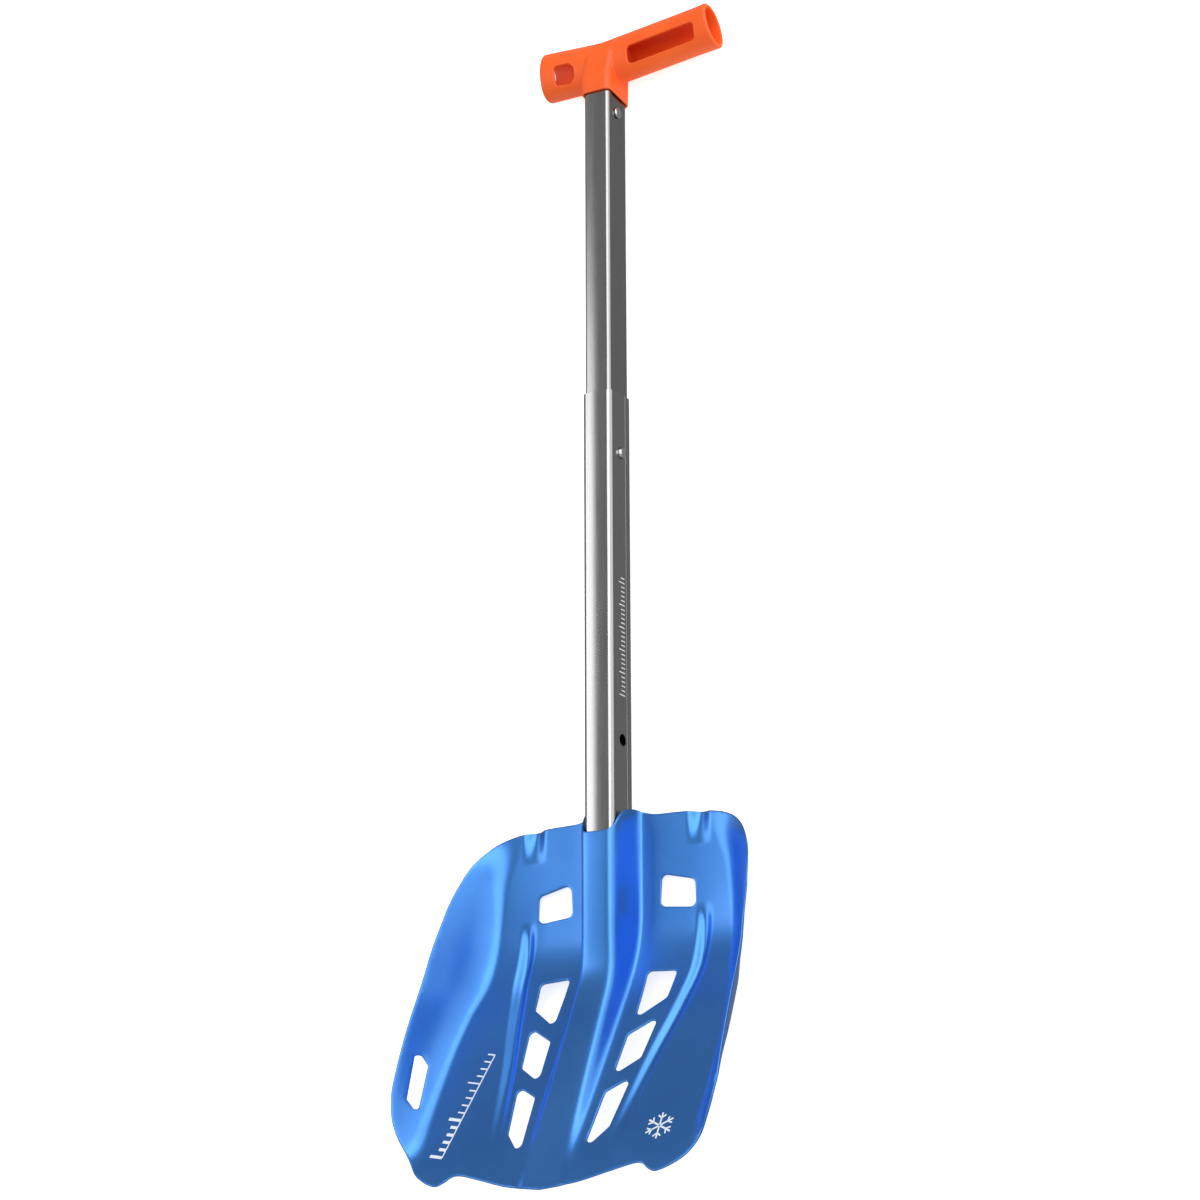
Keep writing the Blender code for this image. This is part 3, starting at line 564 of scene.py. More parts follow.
def outward(loop):
    """Unit directions that point out of a closed line, whichever way round it runs."""
    ahead, behind = np.roll(loop, -1, axis=0), np.roll(loop, 1, axis=0)
    along = ahead - behind
    normal = np.stack((along[:, 1], -along[:, 0]), 1)
    normal /= np.linalg.norm(normal, axis=1, keepdims=True)
    area = np.sum(loop[:, 0] * ahead[:, 1] - ahead[:, 0] * loop[:, 1])
    return normal if area > 0 else -normal


def inside_loop(points, loop):
    x0, y0 = loop[:, 0], loop[:, 1]
    x1, y1 = np.roll(x0, -1), np.roll(y0, -1)
    px, py = points[:, :1], points[:, 1:]
    spans = (y0 > py) != (y1 > py)
    rise = np.where(y1 == y0, 1, y1 - y0)
    crossings = spans & (px < x0 + (py - y0) / rise * (x1 - x0))
    return crossings.sum(axis=1) % 2 == 1


def in_material(points, loops):
    kept = inside_loop(points, loops[0])
    for loop in loops[1:]:
        kept &= ~inside_loop(points, loop)
    return kept


def nearest_rim(points, loops):
    rim = np.concatenate(loops)
    nearest = np.full(len(points), np.inf)
    for part in np.array_split(rim, max(len(rim) // 100, 1)):
        gaps = points[:, None, :] - part[None, :, :]
        nearest = np.minimum(nearest, (gaps**2).sum(axis=2).min(axis=1))
    return np.sqrt(nearest)


def pressed_sheet(name, level, thickness, loops, columns, rows, rim_gap):
    """A pressed sheet with rounded rims, over a plan with an outline and holes."""
    directions = [outward(loop) * (1 if i == 0 else -1) for i, loop in enumerate(loops)]
    inner = [loop - out * RIM_ROUND for loop, out in zip(loops, directions)]
    grid = np.array([(x, station) for station in rows for x in columns])
    grid = grid[in_material(grid, inner)]
    grid = grid[nearest_rim(grid, inner) > rim_gap]
    points = np.concatenate(inner + [grid])
    edges, first, starts = [], 0, []
    for loop in inner:
        starts.append(first)
        edges += [(first + i, first + (i + 1) % len(loop)) for i in range(len(loop))]
        first += len(loop)
    scale = 1000
    made = delaunay_2d_cdt([Vector(p) for p in points * scale], edges, [], 0, 1e-5)
    plan = np.array([tuple(v) for v in made[0]]) / scale
    faces = np.array([tuple(f) for f in made[2]])
    faces = faces[in_material(plan[faces].mean(axis=1), inner)]
    found = {source: i for i, sources in enumerate(made[3]) for source in sources}
    count = len(plan)
    half = thickness / 2
    verts = [on_surface(level, plan, half), on_surface(level, plan, -half)]
    polygons = [tuple(f) for f in faces] + [tuple(f[::-1] + count) for f in faces]
    total = 2 * count
    for loop, out, start in zip(inner, directions, starts):
        rings = [[found[start + i] for i in range(len(loop))]]
        for step in range(1, RIM_STEPS):
            angle = math.pi * step / RIM_STEPS
            moved = loop + out * RIM_ROUND * math.sin(angle)
            verts.append(on_surface(level, moved, half * math.cos(angle)))
            rings.append(list(range(total, total + len(loop))))
            total += len(loop)
        rings.append([found[start + i] + count for i in range(len(loop))])
        for high, low in zip(rings[:-1], rings[1:]):
            for i in range(len(loop)):
                j = (i + 1) % len(loop)
                polygons.append((high[i], high[j], low[j], low[i]))
    mesh = bpy.data.meshes.new(name)
    mesh.from_pydata(np.concatenate(verts).tolist(), [], [tuple(map(int, p)) for p in polygons])
    bm = bmesh.new()
    bm.from_mesh(mesh)
    bpy.data.meshes.remove(mesh)
    bmesh.ops.delete(bm, geom=[v for v in bm.verts if not v.link_faces], context="VERTS")
    return closed_mesh(name, bm)


def spaced(low, high, pitch):
    return list(np.linspace(low, high, max(int(round((high - low) / pitch)), 1) + 1))


def both_sides(spans):
    """The columns of a sheet's grid, in the middle and on both sides of it."""
    right = [x for span in spans for x in spaced(*span)]
    return sorted([0.0] + right + [-x for x in right])


def make_blade(finish):
    half = through(HALF_OUTLINE, 24)
    loops = [even_loop(half + mirrored(half)[1:-1], OUTLINE_PITCH)]
    for corners, radius in CUT_OUTS:
        line = even_loop(rounded_polygon(corners, radius, 12), CUT_OUT_PITCH)
        loops += [line, line[::-1] * (-1, 1)]
    mesh = pressed_sheet("blade_sheet", blade_level, SHEET, loops, both_sides(BLADE_COLUMNS),
                         spaced(*BLADE_ROWS), BLADE_RIM_GAP)
    return new_piece("blade_sheet", mesh, finish, "blade", "blade", 60)


def make_back_plate(finish):
    corners = [
        (-PLATE_HALF_WIDTH, PLATE_BOTTOM), (PLATE_HALF_WIDTH, PLATE_BOTTOM),
        (PLATE_HALF_WIDTH, PLATE_TOP), (-PLATE_HALF_WIDTH, PLATE_TOP),
    ]
    outline = even_loop(rounded_polygon(corners, PLATE_CORNER, 8), PLATE_OUTLINE_PITCH)
    hole = [
        (BUTTON_HOLE_RADIUS * math.cos(t), BLADE_BUTTON_STATION + BUTTON_HOLE_RADIUS * math.sin(t))
        for t in np.linspace(0, 2 * math.pi, 40, endpoint=False)
    ]
    mesh = pressed_sheet("socket_saddle", plate_level, PLATE_THICKNESS, [outline, np.array(hole)],
                         both_sides(PLATE_COLUMNS), spaced(*PLATE_ROWS), PLATE_RIM_GAP)
    return new_piece("socket_saddle", mesh, finish, "blade", "socket_back_plate",
                     60)


# ---- printed marks ----


def print_strip(bm, surface, line, width):
    """A thin printed strip along a line of plan points; surface(plan, lift) gives places."""
    points = np.array(line)
    along = np.gradient(points, axis=0)
    side = np.stack((-along[:, 1], along[:, 0]), 1)
    side *= width / 2 / np.linalg.norm(side, axis=1, keepdims=True)
    rings = []
    left, right = points + side, points - side
    for plan, lift in ((left, 1), (right, 1), (right, 0), (left, 0)):
        rings.append([bm.verts.new(p) for p in surface(plan, lift)])
    for a, b in zip(rings, rings[1:] + rings[:1]):
        for i in range(len(points) - 1):
            bm.faces.new((a[i], a[i + 1], b[i + 1], b[i]))
    for end in (0, -1):
        bm.faces.new([ring[end] for ring in rings])


def straight(start, end, pitch=0.0010):
    length = math.dist(start, end)
    count = max(int(length / pitch), 1) + 1
    return np.stack([np.linspace(a, b, count) for a, b in zip(start, end)], 1)


def print_lift(lift):
    """How far a strip's top or its sunk underside stands off the surface."""
    return PRINT_TOP if lift else PRINT_SUNK


def blade_print_surface(plan, lift):
    return on_surface(blade_level, plan, SHEET / 2 + print_lift(lift))


def make_blade_scale(finish):
    """A depth scale of plain ticks along the left of the blade."""
    bm = bmesh.new()
    low, high = (np.array(end) for end in BLADE_SCALE_ENDS)
    along = (high - low) / np.linalg.norm(high - low)
    across = np.array((-along[1], along[0]))
    print_strip(bm, blade_print_surface, straight(low, high), BLADE_SCALE_LINE)
    for i in range(BLADE_SCALE_TICKS):
        foot = low + (high - low) * i / (BLADE_SCALE_TICKS - 1)
        length = BLADE_TICK_LENGTHS[0 if i % LONG_TICK_EVERY == 0 else 1]
        width = BLADE_TICK_WIDTHS[0 if i < WIDE_TICKS else 1]
        print_strip(bm, blade_print_surface, straight(foot, foot + across * length), width)
    mesh = closed_mesh("blade_scale", bm)
    return new_piece("blade_scale", mesh, finish, "blade")


def make_snow_mark(finish):
    """A plain six-armed snow crystal on the right of the blade."""
    bm = bmesh.new()
    centre = np.array(SNOW_CENTRE)
    squeeze = np.array((1.0, 1 / math.hypot(1, LIFT_SLOPE)))
    for k in range(6):
        angle = math.pi / 6 + math.pi / 3 * k
        out = np.array((math.cos(angle), math.sin(angle)))
        arm = straight(centre + out * SNOW_HUB * squeeze, centre + out * SNOW_ARM * squeeze)
        print_strip(bm, blade_print_surface, arm, SNOW_ARM_WIDTH)
        fork = centre + out * SNOW_ARM * SNOW_FORK_SHARE * squeeze
        for turn in (-1, 1):
            lean = angle + turn * SNOW_TWIG_ANGLE
            tip = fork + np.array((math.cos(lean), math.sin(lean))) * SNOW_TWIG * squeeze
            print_strip(bm, blade_print_surface, straight(fork, tip), SNOW_TWIG_WIDTH)
    mesh = closed_mesh("snow_mark", bm)
    return new_piece("snow_mark", mesh, finish, "blade")


def make_shaft_scale(finish):
    """A length scale of fine ticks on the side of the lower tube."""
    bm = bmesh.new()

    def surface(plan, lift):
        out = OUTER_WIDTH / 2 - SIDE_RECESS + print_lift(lift)
        return [place(out, station, height) for height, station in plan]

    for i in range(SHAFT_SCALE_TICKS):
        station = SHAFT_SCALE_START + SHAFT_SCALE_LENGTH * i / (SHAFT_SCALE_TICKS - 1)
        reach = SHAFT_TICK_LENGTHS[0 if i % LONG_TICK_EVERY == 0 else 1]
        tick = [(SHAFT_TICK_FOOT, station), (SHAFT_TICK_FOOT + reach, station)]
        print_strip(bm, surface, tick, SHAFT_TICK_WIDTH)
    mesh = closed_mesh("shaft_scale", bm)
    return new_piece("shaft_scale", mesh, finish, "outer_shaft")


# ---- shaft ----


def tube_section(width, depth, radius, recess):
    """The tube's outer line: rounded corners, faintly crowned faces and a shallow side channel."""
    line = rounded_rectangle(width, depth, radius, 12)
    dense = []
    for i, (x0, z0) in enumerate(line):
        x1, z1 = line[(i + 1) % len(line)]
        count = FACE_STEPS if math.hypot(x1 - x0, z1 - z0) > radius else 1
        dense += [(x0 + (x1 - x0) * k / count, z0 + (z1 - z0) * k / count) for k in range(count)]
    shaped = []
    for x, z in dense:
        across = min(abs(x) / (width / 2 - radius), 1)
        around = max((abs(z) - depth / 2 + radius) / radius, 0)
        z -= math.copysign(CROWN * across**2 * around, z)
        if abs(x) >= width / 2 - 1e-6:
            outside = 0
            for edge, sign in ((RECESS_FRONT, 1), (RECESS_BACK, -1)):
                past = max(min(sign * (edge - z) / (RECESS_EDGE / 4), 50), -50)
                outside += 1 - 1 / (1 + math.exp(-past))
            x -= math.copysign(recess * max(1 - outside, 0), x)
        shaped.append((x, z))
    return shaped


def shaft_tube(name, width, depth, radius, low, high, recess):
    outside = tube_section(width, depth, radius, recess)
    core = 1 - 2 * TUBE_CHAMFER / width
    inside = rounded_rectangle(width - 2 * TUBE_WALL, depth - 2 * TUBE_WALL, radius - TUBE_WALL, 12)
    rings = []
    for station, scale in (
        (low, core), (low + TUBE_CHAMFER, 1), (high - TUBE_CHAMFER, 1), (high, core)
    ):
        rings.append([place(x * scale, station, z * scale) for x, z in outside])
    outer = loft(name, rings)
    ends = (low - BORE_REACH, high + BORE_REACH)
    bore = loft("bore", [[place(x, station, z) for x, z in inside] for station in ends])
    return combined(outer, bore, "DIFFERENCE")


def inner_size():
    shrink = 2 * (TUBE_WALL + TUBE_GAP)
    return OUTER_WIDTH - shrink, OUTER_DEPTH - shrink, OUTER_CORNER - TUBE_WALL - TUBE_GAP


def side_hole(radius, station, start, end):
    return rod("side_hole", radius, place(start, station, 0), place(end, station, 0))


def back_hole(radius, station):
    start, end = BACK_DRILL
    return rod("back_hole", radius, place(0, station, start), place(0, station, end))


def make_tubes(finish, inner_finish):
    mesh = shaft_tube("lower_tube", OUTER_WIDTH, OUTER_DEPTH, OUTER_CORNER, OUTER_BOTTOM, OUTER_TOP,
                      SIDE_RECESS)
    stations = (TELESCOPE_BUTTON_STATION, TELESCOPE_BUTTON_STATION - TELESCOPE_TRAVEL)
    holes = [side_hole(BUTTON_HOLE_RADIUS, at, OUTER_DRILL_START, HOLE_REACH) for at in stations]
    holes.append(back_hole(BUTTON_HOLE_RADIUS, BLADE_BUTTON_STATION))
    mesh = combined(mesh, merged("holes", holes), "DIFFERENCE")
    new_piece("lower_tube", mesh, finish, "outer_shaft", "outer_tube", 30)
    width, depth, corner = inner_size()
    mesh = shaft_tube("upper_tube", width, depth, corner, INNER_BOTTOM, INNER_TOP, SIDE_RECESS)
    holes = [
        side_hole(BUTTON_HOLE_RADIUS, TELESCOPE_BUTTON_STATION, INNER_DRILL_START, HOLE_REACH),
        side_hole(RIVET_SHANK + GAP, RIVET_STATION, -HOLE_REACH, HOLE_REACH),
    ]
    mesh = combined(mesh, merged("holes", holes), "DIFFERENCE")
    new_piece("upper_tube", mesh, inner_finish, "inner_shaft", "inner_tube",
              30)


def make_end_plug(finish):
    width, depth, corner = inner_size()
    shrink = 2 * (TUBE_WALL + GAP)
    low, high = INNER_BOTTOM - GAP - PLUG_FLANGE, INNER_BOTTOM - GAP
    rings = []
    for station, less in ((low, PLUG_CHAMFER), (low + PLUG_CHAMFER, 0), (high, 0)):
        section = rounded_rectangle(width - 2 * less, depth - 2 * less, corner - less)
        rings.append([place(x, station, z) for x, z in section])
    mesh = loft("guide_plug", rings)
    stub = bar("stub", width - shrink, depth - shrink, corner - TUBE_WALL,
               high - PLUG_OVERLAP, high + PLUG_STUB)
    mesh = combined(mesh, stub, "UNION")
    shrink += 2 * PLUG_WALL
    bore = bar("bore", width - shrink, depth - shrink, PLUG_BORE_CORNER,
               INNER_BOTTOM - PLUG_BORE_REACH, INNER_BOTTOM + PLUG_BORE_REACH)
    mesh = combined(mesh, bore, "DIFFERENCE")
    new_piece("guide_plug", mesh, finish, "inner_shaft", "inner_tube_end_plug")


def button_profile(length):
    eased = BUTTON_FLANGE_RADIUS - BUTTON_EDGE
    profile = [(0, 0), (0, eased), (BUTTON_EDGE, BUTTON_FLANGE_RADIUS)]
    profile += [(BUTTON_FLANGE - BUTTON_EDGE, BUTTON_FLANGE_RADIUS), (BUTTON_FLANGE, eased)]
    profile.append((BUTTON_FLANGE, BUTTON_RADIUS))
    steps = 12
    for step in range(steps + 1):
        angle = math.pi / 2 * step / steps
        along = length - BUTTON_DOME * (1 - math.sin(angle))
        profile.append((along, BUTTON_RADIUS * math.cos(angle) if step < steps else 0))
    return profile


def make_buttons(finish):
    base = inner_size()[0] / 2 - TUBE_WALL - GAP - BUTTON_FLANGE
    mesh = turned("telescope_lock_button", button_profile(OUTER_WIDTH / 2 + BUTTON_PROUD - base),
                  place(base, TELESCOPE_BUTTON_STATION, 0), Vector((1, 0, 0)))
    new_piece("telescope_lock_button", mesh, finish, "telescope_button", "telescope_button")
    base = OUTER_DEPTH / 2 - TUBE_WALL - GAP - BUTTON_FLANGE
    mesh = turned("blade_lock_button", button_profile(OUTER_DEPTH / 2 + BLADE_BUTTON_PROUD - base),
                  place(0, BLADE_BUTTON_STATION, -base), Vector((0, 0, -1)))
    new_piece("blade_lock_button", mesh, finish, "blade_button", "blade_button")


def leaf_spring(name, base, wall, station, outward_axis):
    near = base - GAP - LEAF_THICKNESS / 2
    far = -(wall - GAP - LEAF_THICKNESS / 2)
    route = through([(near * here + far * there, at) for here, there, at in LEAF_SHAPE], LEAF_STEPS)
    across = outward_axis.cross(Vector((0, 1, 0))) * LEAF_WIDTH / 2
    rings = []
    for i, (out, along) in enumerate(route):
        before, after = route[max(i - 1, 0)], route[min(i + 1, len(route) - 1)]
        ahead = outward_axis * (after[0] - before[0]) + Vector((0, after[1] - before[1], 0))
        side = ahead.normalized().cross(across.normalized()) * LEAF_THICKNESS / 2
        middle = place(0, station + along, 0) + outward_axis * out
        rings.append([middle + across + side, middle + across - side,
                      middle - across - side, middle - across + side])
    return loft(name, rings)


def make_springs(finish):
    width = inner_size()[0]
    base = width / 2 - TUBE_WALL - GAP - BUTTON_FLANGE
    mesh = leaf_spring("telescope_leaf", base, width / 2 - TUBE_WALL, TELESCOPE_BUTTON_STATION,
                       Vector((1, 0, 0)))
    new_piece("telescope_leaf", mesh, finish, "inner_shaft", "telescope_button_spring")
    base = OUTER_DEPTH / 2 - TUBE_WALL - GAP - BUTTON_FLANGE
    mesh = leaf_spring("blade_leaf", base, OUTER_DEPTH / 2 - TUBE_WALL, BLADE_BUTTON_STATION,
                       Vector((0, 0, -1)))
    new_piece("blade_leaf", mesh, finish, "outer_shaft", "blade_button_spring")


# ---- grip ----


def grip_station(x):
    rise = GRIP_RIGHT_RISE if x > 0 else GRIP_LEFT_RISE
    return GRIP_AXIS_STATION + rise * float(soft_ramp(abs(x), GRIP_BEND))


def grip_ring(x, shrink, slant, points=96):
    ring = []
    flare = 1 + LEFT_FLARE * max(x / GRIP_LEFT_END, 0)
    for i in range(points):
        angle = 2 * math.pi * i / points
        c, s = (
            math.copysign(abs(value) ** GRIP_SQUARENESS, value)
            for value in (math.cos(angle), math.sin(angle))
        )
        along = (GRIP_HALF_HEIGHT - shrink) * c
        along *= flare if along < 0 else 1
        height = (GRIP_HALF_DEPTH - shrink) * s
        ring.append(place(x - slant * along, grip_station(x) + along, height))
    return ring


def grip_arms():
    left, right = END_SLANT
    rings = [grip_ring(GRIP_LEFT_END + back, less, left) for back, less in END_ROUNDING]
    rings += [grip_ring(x, 0, 0) for x in spaced(*ARM_SECTIONS)]
    rings += [grip_ring(GRIP_RIGHT_END - back, less, right) for back, less in END_ROUNDING[::-1]]
    return loft("grip_arms", rings)


def collar():
    width, depth, corner = inner_size()
    width += 2 * (GAP + COLLAR_WALL)
    depth += 2 * (GAP + COLLAR_WALL)
    corner += GAP + COLLAR_WALL
    mouth = rounded_rectangle(width, depth, corner)
    rings = [[place(x, COLLAR_BOTTOM - COLLAR_SLANT * (depth / 2 - z), z) for x, z in mouth]]
    for station, shift, narrower, shallower in COLLAR_SECTIONS:
        eased = corner - COLLAR_CORNER_EASE
        section = rounded_rectangle(width - narrower, depth - shallower, eased)
        rings.append([place(x + shift, station, z) for x, z in section])
    return loft("collar", rings)


def front_hole(name, corners, radius, steps=10):
    """A prism through the front wall of an arm, whose corners follow the arm's axis."""
    line = rounded_polygon([(x, grip_station(x) + along) for x, along in corners], radius, steps)
    return loft(name, [[place(x, station, height) for x, station in line] for height in FRONT_WALL])


def remeshed(mesh, voxel, smooth_steps):
    piece = temporary(mesh)
    modifier = piece.modifiers.new("even", "REMESH")
    modifier.mode = "VOXEL"
    modifier.voxel_size = voxel
    smooth = piece.modifiers.new("soften", "SMOOTH")
    smooth.factor = 0.5
    smooth.iterations = smooth_steps
    return evaluated(piece)


def make_grip(finish):
    width, depth, corner = inner_size()
    mesh = combined(grip_arms(), collar(), "UNION")
    for name, columns in (("left", (*LEFT_BORE, -GRIP_ROOT)), ("right", (GRIP_ROOT, *RIGHT_BORE))):
        bore = loft(name, [grip_ring(x, GRIP_WALL, 0) for x in columns])
        mesh = combined(mesh, bore, "DIFFERENCE")
    space = bar("space", width + 2 * GAP, depth + 2 * GAP, corner + GAP,
                SPIGOT_BORE_START, INNER_TOP + GAP)
    mesh = combined(mesh, space, "DIFFERENCE")
    shrink = 2 * (TUBE_WALL + GAP)
    spigot = bar("spigot", width - shrink, depth - shrink, corner - TUBE_WALL,
                 SPIGOT_BOTTOM, SPIGOT_TOP)
    mesh = combined(mesh, spigot, "UNION")
    shrink += 2 * SPIGOT_WALL
    bore = bar("bore", width - shrink, depth - shrink, SPIGOT_BORE_CORNER,
               SPIGOT_BORE_START, INNER_TOP)
    mesh = combined(mesh, bore, "DIFFERENCE")
    holes = [
        side_hole(RIVET_SHANK + GAP, RIVET_STATION, -HOLE_REACH, HOLE_REACH),
        front_hole("lanyard", *LANYARD_HOLE),
        front_hole("slot", *GRIP_SLOT),
    ]
    for hole in holes:
        mesh = combined(mesh, hole, "DIFFERENCE")
    mesh = remeshed(mesh, GRIP_VOXEL, GRIP_SMOOTHING)
    return new_piece("grip_handle", mesh, finish, "inner_shaft", "grip", 80)


def make_rivet(finish):
    seat = inner_size()[0] / 2 + GAP
    tip = seat + RIVET_HEAD_HEIGHT
    steps = 8
    head = []
    for step in range(steps + 1):
        angle = math.pi / 2 * step / steps
        head.append((RIVET_HEAD_HEIGHT * (1 - math.cos(angle)), RIVET_HEAD * math.sin(angle)))
    profile = head + [(RIVET_HEAD_HEIGHT, RIVET_SHANK), (tip + seat, RIVET_SHANK)]
    profile += [(2 * tip - along, radius) for along, radius in reversed(head)]
    mesh = turned("collar_rivet", profile, place(-tip, RIVET_STATION, 0), Vector((1, 0, 0)))
    new_piece("collar_rivet", mesh, finish, "inner_shaft", "grip_rivet")


# ---- materials ----


def shader_of(name, colour, metallic, roughness):
    made = bpy.data.materials.new(name)
    made.use_nodes = True
    tree = made.node_tree
    shader = tree.nodes["Principled BSDF"]
    shader.inputs["Base Color"].default_value = (*colour, 1)
    shader.inputs["Metallic"].default_value = metallic
    shader.inputs["Roughness"].default_value = roughness
    return made, tree, shader


def noise(tree, scale, stretch=(1, 1, 1), detail=2.0):
    """Noise over the object's own coordinates, drawn out along an axis by stretch."""
    place_node = tree.nodes.new("ShaderNodeTexCoord")
    mapping = tree.nodes.new("ShaderNodeMapping")
    mapping.inputs["Scale"].default_value = stretch
    texture = tree.nodes.new("ShaderNodeTexNoise")
    texture.inputs["Scale"].default_value = scale
    texture.inputs["Detail"].default_value = detail
    tree.links.new(place_node.outputs["Object"], mapping.inputs["Vector"])
    tree.links.new(mapping.outputs["Vector"], texture.inputs["Vector"])
    return texture.outputs["Fac"]


def ranged(tree, value, low, high, start=0.3, end=0.7):
    node = tree.nodes.new("ShaderNodeMapRange")
    node.inputs["From Min"].default_value = start
    node.inputs["From Max"].default_value = end
    node.inputs["To Min"].default_value = low
    node.inputs["To Max"].default_value = high
    tree.links.new(value, node.inputs["Value"])
    return node.outputs["Result"]


def tinted(tree, factor, low, high):
    node = tree.nodes.new("ShaderNodeMix")
    node.data_type = "RGBA"
    node.inputs["A"].default_value = (*low, 1)
    node.inputs["B"].default_value = (*high, 1)
    tree.links.new(factor, node.inputs["Factor"])
    return node.outputs["Result"]


def bumped(tree, shader, height, strength, distance):
    node = tree.nodes.new("ShaderNodeBump")
    node.inputs["Strength"].default_value = strength
    node.inputs["Distance"].default_value = distance
    tree.links.new(height, node.inputs["Height"])
    tree.links.new(node.outputs["Normal"], shader.inputs["Normal"])


def anodised_blue():
    made, tree, shader = shader_of("anodised_blue", (0.07, 0.29, 0.80), 0.92, 0.30)
    shader.inputs["Coat Weight"].default_value = 0.35
    shader.inputs["Coat Roughness"].default_value = 0.18
    patches = noise(tree, 22, detail=3)
    grain = noise(tree, 2600, detail=2)
    colour = tinted(tree, ranged(tree, patches, 0, 1), (0.054, 0.240, 0.70), (0.068, 0.280, 0.78))
    tree.links.new(colour, shader.inputs["Base Color"])
    tree.links.new(ranged(tree, grain, 0.33, 0.41), shader.inputs["Roughness"])
    bumped(tree, shader, grain, 0.10, 0.00005)
    return made


def brushed_aluminium(name, level, roughness):
    made, tree, shader = shader_of(name, (level, level, level * 1.01), 1.0, roughness)
    lines = noise(tree, 900, (1, 0.02, 1), 3)
    grain = noise(tree, 3000, detail=1)
    polish = ranged(tree, lines, roughness - 0.02, roughness + 0.03)
    tree.links.new(polish, shader.inputs["Roughness"])
    shade = tinted(tree, ranged(tree, lines, 0, 1), (level * 0.97,) * 3, (level * 1.02,) * 3)
    tree.links.new(shade, shader.inputs["Base Color"])
    mixed = tree.nodes.new("ShaderNodeMath")
    mixed.operation = "ADD"
    tree.links.new(lines, mixed.inputs[0])
    tree.links.new(grain, mixed.inputs[1])
    bumped(tree, shader, mixed.outputs[0], 0.05, 0.00003)
    return made


def bright_steel():
    made, tree, shader = shader_of("polished_steel", (0.72, 0.72, 0.74), 1.0, 0.18)
    marks = noise(tree, 1500, detail=2)
    tree.links.new(ranged(tree, marks, 0.14, 0.26), shader.inputs["Roughness"])
    bumped(tree, shader, marks, 0.05, 0.00003)
    return made


def spring_steel():
    made, tree, shader = shader_of("spring_steel", (0.42, 0.43, 0.46), 1.0, 0.34)
    marks = noise(tree, 1200, (1, 0.1, 1), 2)
    tree.links.new(ranged(tree, marks, 0.28, 0.42), shader.inputs["Roughness"])
    return made


def orange_plastic():
    made, tree, shader = shader_of("orange_plastic", (0.93, 0.105, 0.012), 0.0, 0.42)
    patches = noise(tree, 35, detail=2)
    grain = noise(tree, 1900, detail=3)
    colour = tinted(tree, ranged(tree, patches, 0, 1), (0.88, 0.105, 0.008), (0.94, 0.125, 0.011))
    tree.links.new(colour, shader.inputs["Base Color"])
    tree.links.new(ranged(tree, grain, 0.38, 0.50), shader.inputs["Roughness"])
    shader.inputs["Subsurface Weight"].default_value = 0.06
    shader.inputs["Subsurface Radius"].default_value = (0.004, 0.0012, 0.0004)
    bumped(tree, shader, grain, 0.16, 0.00008)
    return made


def black_plastic():
    made, tree, shader = shader_of("black_plastic", (0.022, 0.022, 0.024), 0.0, 0.5)
    grain = noise(tree, 1400, detail=2)
    tree.links.new(ranged(tree, grain, 0.42, 0.58), shader.inputs["Roughness"])
    bumped(tree, shader, grain, 0.15, 0.00008)
    return made


def print_ink(name, colour):
    made, tree, shader = shader_of(name, colour, 0.0, 0.45)
    speckle = noise(tree, 2400, detail=2)
    low = tuple(c * 0.86 for c in colour)
    shade = tinted(tree, ranged(tree, speckle, 0, 1), low, colour)
    tree.links.new(shade, shader.inputs["Base Color"])
    return made


# The floor glows enough to be as pale as the photograph's background, and lies just
# under the shovel so that the saddle's back doesn't share its plane
FLOOR_GLOW = 0.70
FLOOR_DROP = 0.0003


def floor_finish():
    made, tree, shader = shader_of("floor", (0.93, 0.93, 0.93), 0.0, 0.8)
    shader.inputs["Specular IOR Level"].default_value = 0.1
    patches = noise(tree, 3, detail=1)
    shade = tinted(tree, ranged(tree, patches, 0, 1), (0.92, 0.92, 0.92), (0.94, 0.94, 0.94))
    tree.links.new(shade, shader.inputs["Base Color"])
    shader.inputs["Emission Color"].default_value = (1, 1, 1, 1)
    shader.inputs["Emission Strength"].default_value = FLOOR_GLOW
    return made


# ---- studio ----

FLOOR_SIZE = 6


def make_floor():
    bm = bmesh.new()
    bmesh.ops.create_grid(bm, x_segments=1, y_segments=1, size=FLOOR_SIZE)
    mesh = bpy.data.meshes.new("floor")
    bm.to_mesh(mesh)
    bm.free()
    floor = bpy.data.objects.new("floor", mesh)
    mesh.materials.append(floor_finish())
    bpy.context.collection.objects.link(floor)
    floor.visible_glossy = False
    floor.location.z = -FLOOR_DROP


# Light that reaches the shovel from all round, and the tone that the camera sees behind it
AMBIENT = 0.24
BACKDROP = 0.97
# Name, direction from the shovel, distance, width across the shaft, length along it, radiance
SOFT_BOXES = (
    ("upper_strip", (0.31, 0.42, 0.85), 2.3, 1.5, 4.0, 2.3),
    ("side_strip", (0.82, 0.36, 0.36), 2.3, 2.2, 3.6, 1.1),
    ("left_box", (-0.75, 0.14, 0.65), 2.4, 1.3, 1.5, 2.2),
    ("front_box", (0.10, -0.93, 0.60), 2.8, 2.4, 1.6, 0.9),
)


def soft_box(name, direction, distance, width, height, radiance):
    """A rectangular light in a direction from the shovel's middle, facing it."""
    data = bpy.data.lights.new(name, "AREA")
    data.shape = "RECTANGLE"
    data.size = width
    data.size_y = height
    data.energy = radiance * math.pi * width * height
    light = bpy.data.objects.new(name, data)
    back = Vector(direction).normalized()
    across = Vector((0, 1, 0)).cross(back).normalized()
    along = back.cross(across)
    turn = Matrix((across, along, back)).transposed()
    light.matrix_world = Matrix.Translation(back * distance) @ turn.to_4x4()
    light.visible_camera = False
    bpy.context.collection.objects.link(light)


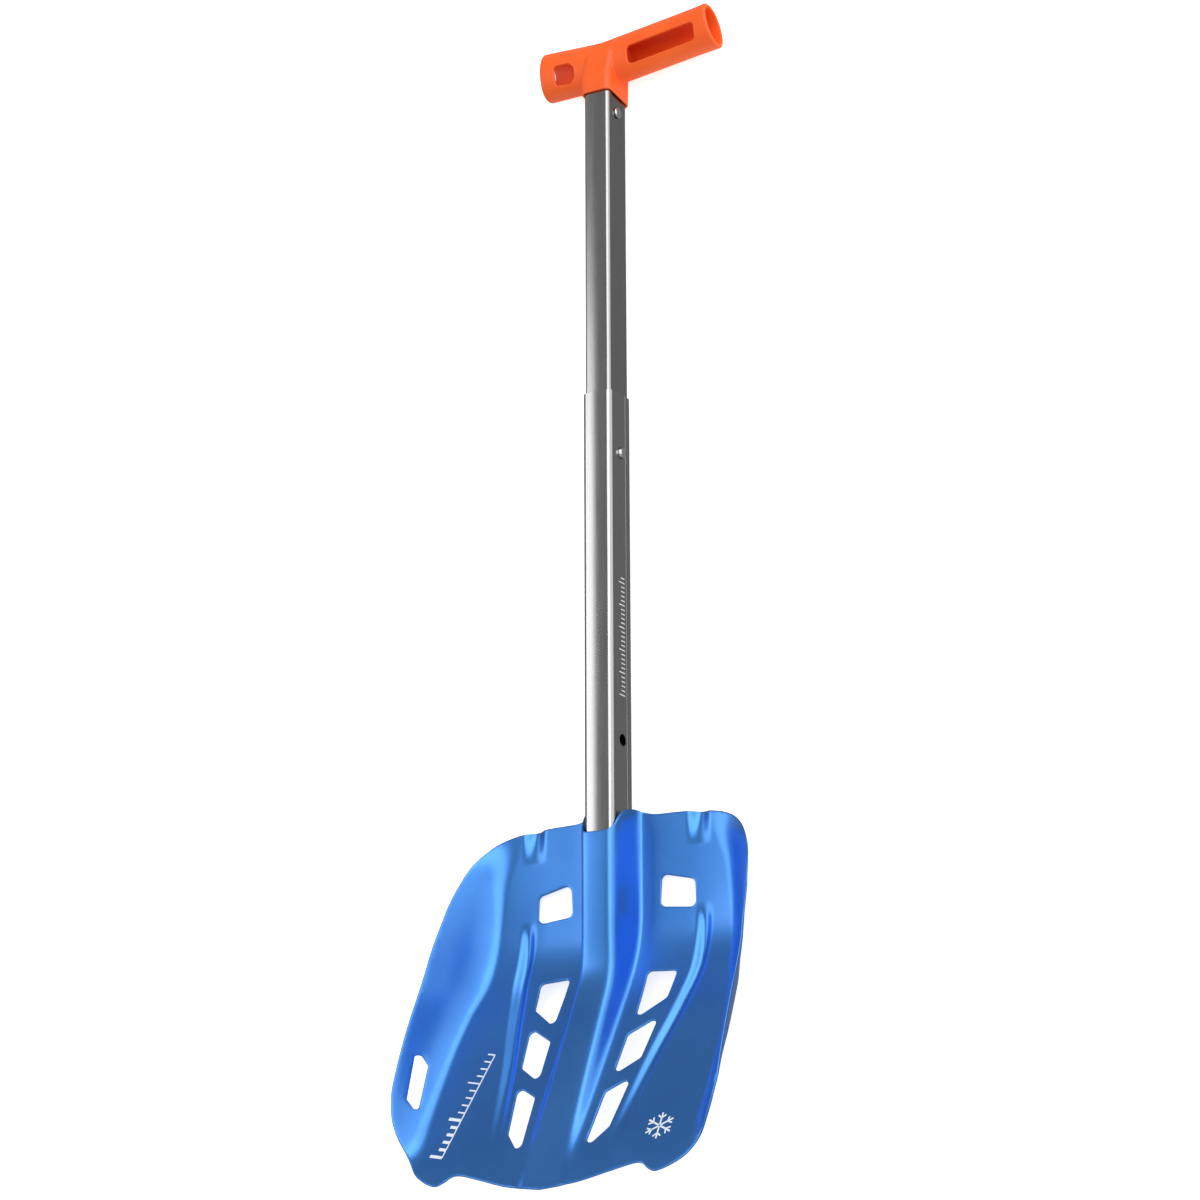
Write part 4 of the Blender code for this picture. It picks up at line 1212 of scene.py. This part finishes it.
def make_lights():
    world = bpy.data.worlds.new("studio")
    world.use_nodes = True
    tree = world.node_tree
    ambient = tree.nodes["Background"]
    ambient.inputs["Color"].default_value = (1, 1, 1, 1)
    ambient.inputs["Strength"].default_value = AMBIENT
    backdrop = tree.nodes.new("ShaderNodeBackground")
    backdrop.inputs["Color"].default_value = (BACKDROP, BACKDROP, BACKDROP, 1)
    path = tree.nodes.new("ShaderNodeLightPath")
    mix = tree.nodes.new("ShaderNodeMixShader")
    tree.links.new(path.outputs["Is Camera Ray"], mix.inputs["Fac"])
    tree.links.new(ambient.outputs["Background"], mix.inputs[1])
    tree.links.new(backdrop.outputs["Background"], mix.inputs[2])
    tree.links.new(mix.outputs["Shader"], tree.nodes["World Output"].inputs["Surface"])
    bpy.context.scene.world = world
    for name, towards, distance, width, height, radiance in SOFT_BOXES:
        soft_box(name, towards, distance, width, height, radiance)


# The photograph's camera: its swing to the right, its tilt toward the tip and its roll
VIEW_SWING = math.radians(30.0)
VIEW_TILT = math.radians(16.65)
VIEW_ROLL = math.radians(-0.25)
VIEW_DISTANCE = 1.8375
VIEW_TARGET = Vector((-0.0048, -0.0068, 0.0135))
VIEW_LENS = 99.39
VIEW_SENSOR = 36
VIEW_NEAREST = 0.05


def make_camera():
    back = Vector((math.sin(VIEW_SWING) * math.cos(VIEW_TILT), -math.sin(VIEW_TILT),
                   math.cos(VIEW_SWING) * math.cos(VIEW_TILT)))
    right = Vector((math.cos(VIEW_SWING), 0, -math.sin(VIEW_SWING)))
    up = back.cross(right)
    roll = Matrix.Rotation(VIEW_ROLL, 3, "Z")
    turn = Matrix((right, up, back)).transposed() @ roll
    data = bpy.data.cameras.new("camera")
    data.lens = VIEW_LENS
    data.sensor_width = VIEW_SENSOR
    data.clip_start = VIEW_NEAREST
    camera = bpy.data.objects.new("camera", data)
    camera.matrix_world = Matrix.Translation(VIEW_TARGET + back * VIEW_DISTANCE) @ turn.to_4x4()
    bpy.context.collection.objects.link(camera)
    bpy.context.scene.camera = camera


def main():
    blue = anodised_blue()
    steel = bright_steel()
    white = print_ink("pale_ink", (0.80, 0.86, 0.92))
    make_blade(blue)
    make_back_plate(blue)
    make_blade_scale(white)
    make_snow_mark(white)
    make_tubes(brushed_aluminium("brushed_aluminium", 0.44, 0.19),
               brushed_aluminium("brushed_aluminium_inner", 0.40, 0.21))
    make_shaft_scale(print_ink("grey_ink", (0.62, 0.62, 0.62)))
    make_end_plug(black_plastic())
    make_buttons(steel)
    make_springs(spring_steel())
    make_grip(orange_plastic())
    make_rivet(steel)
    make_floor()
    make_lights()
    make_camera()
    bpy.context.scene.view_settings.view_transform = "Standard"


main()
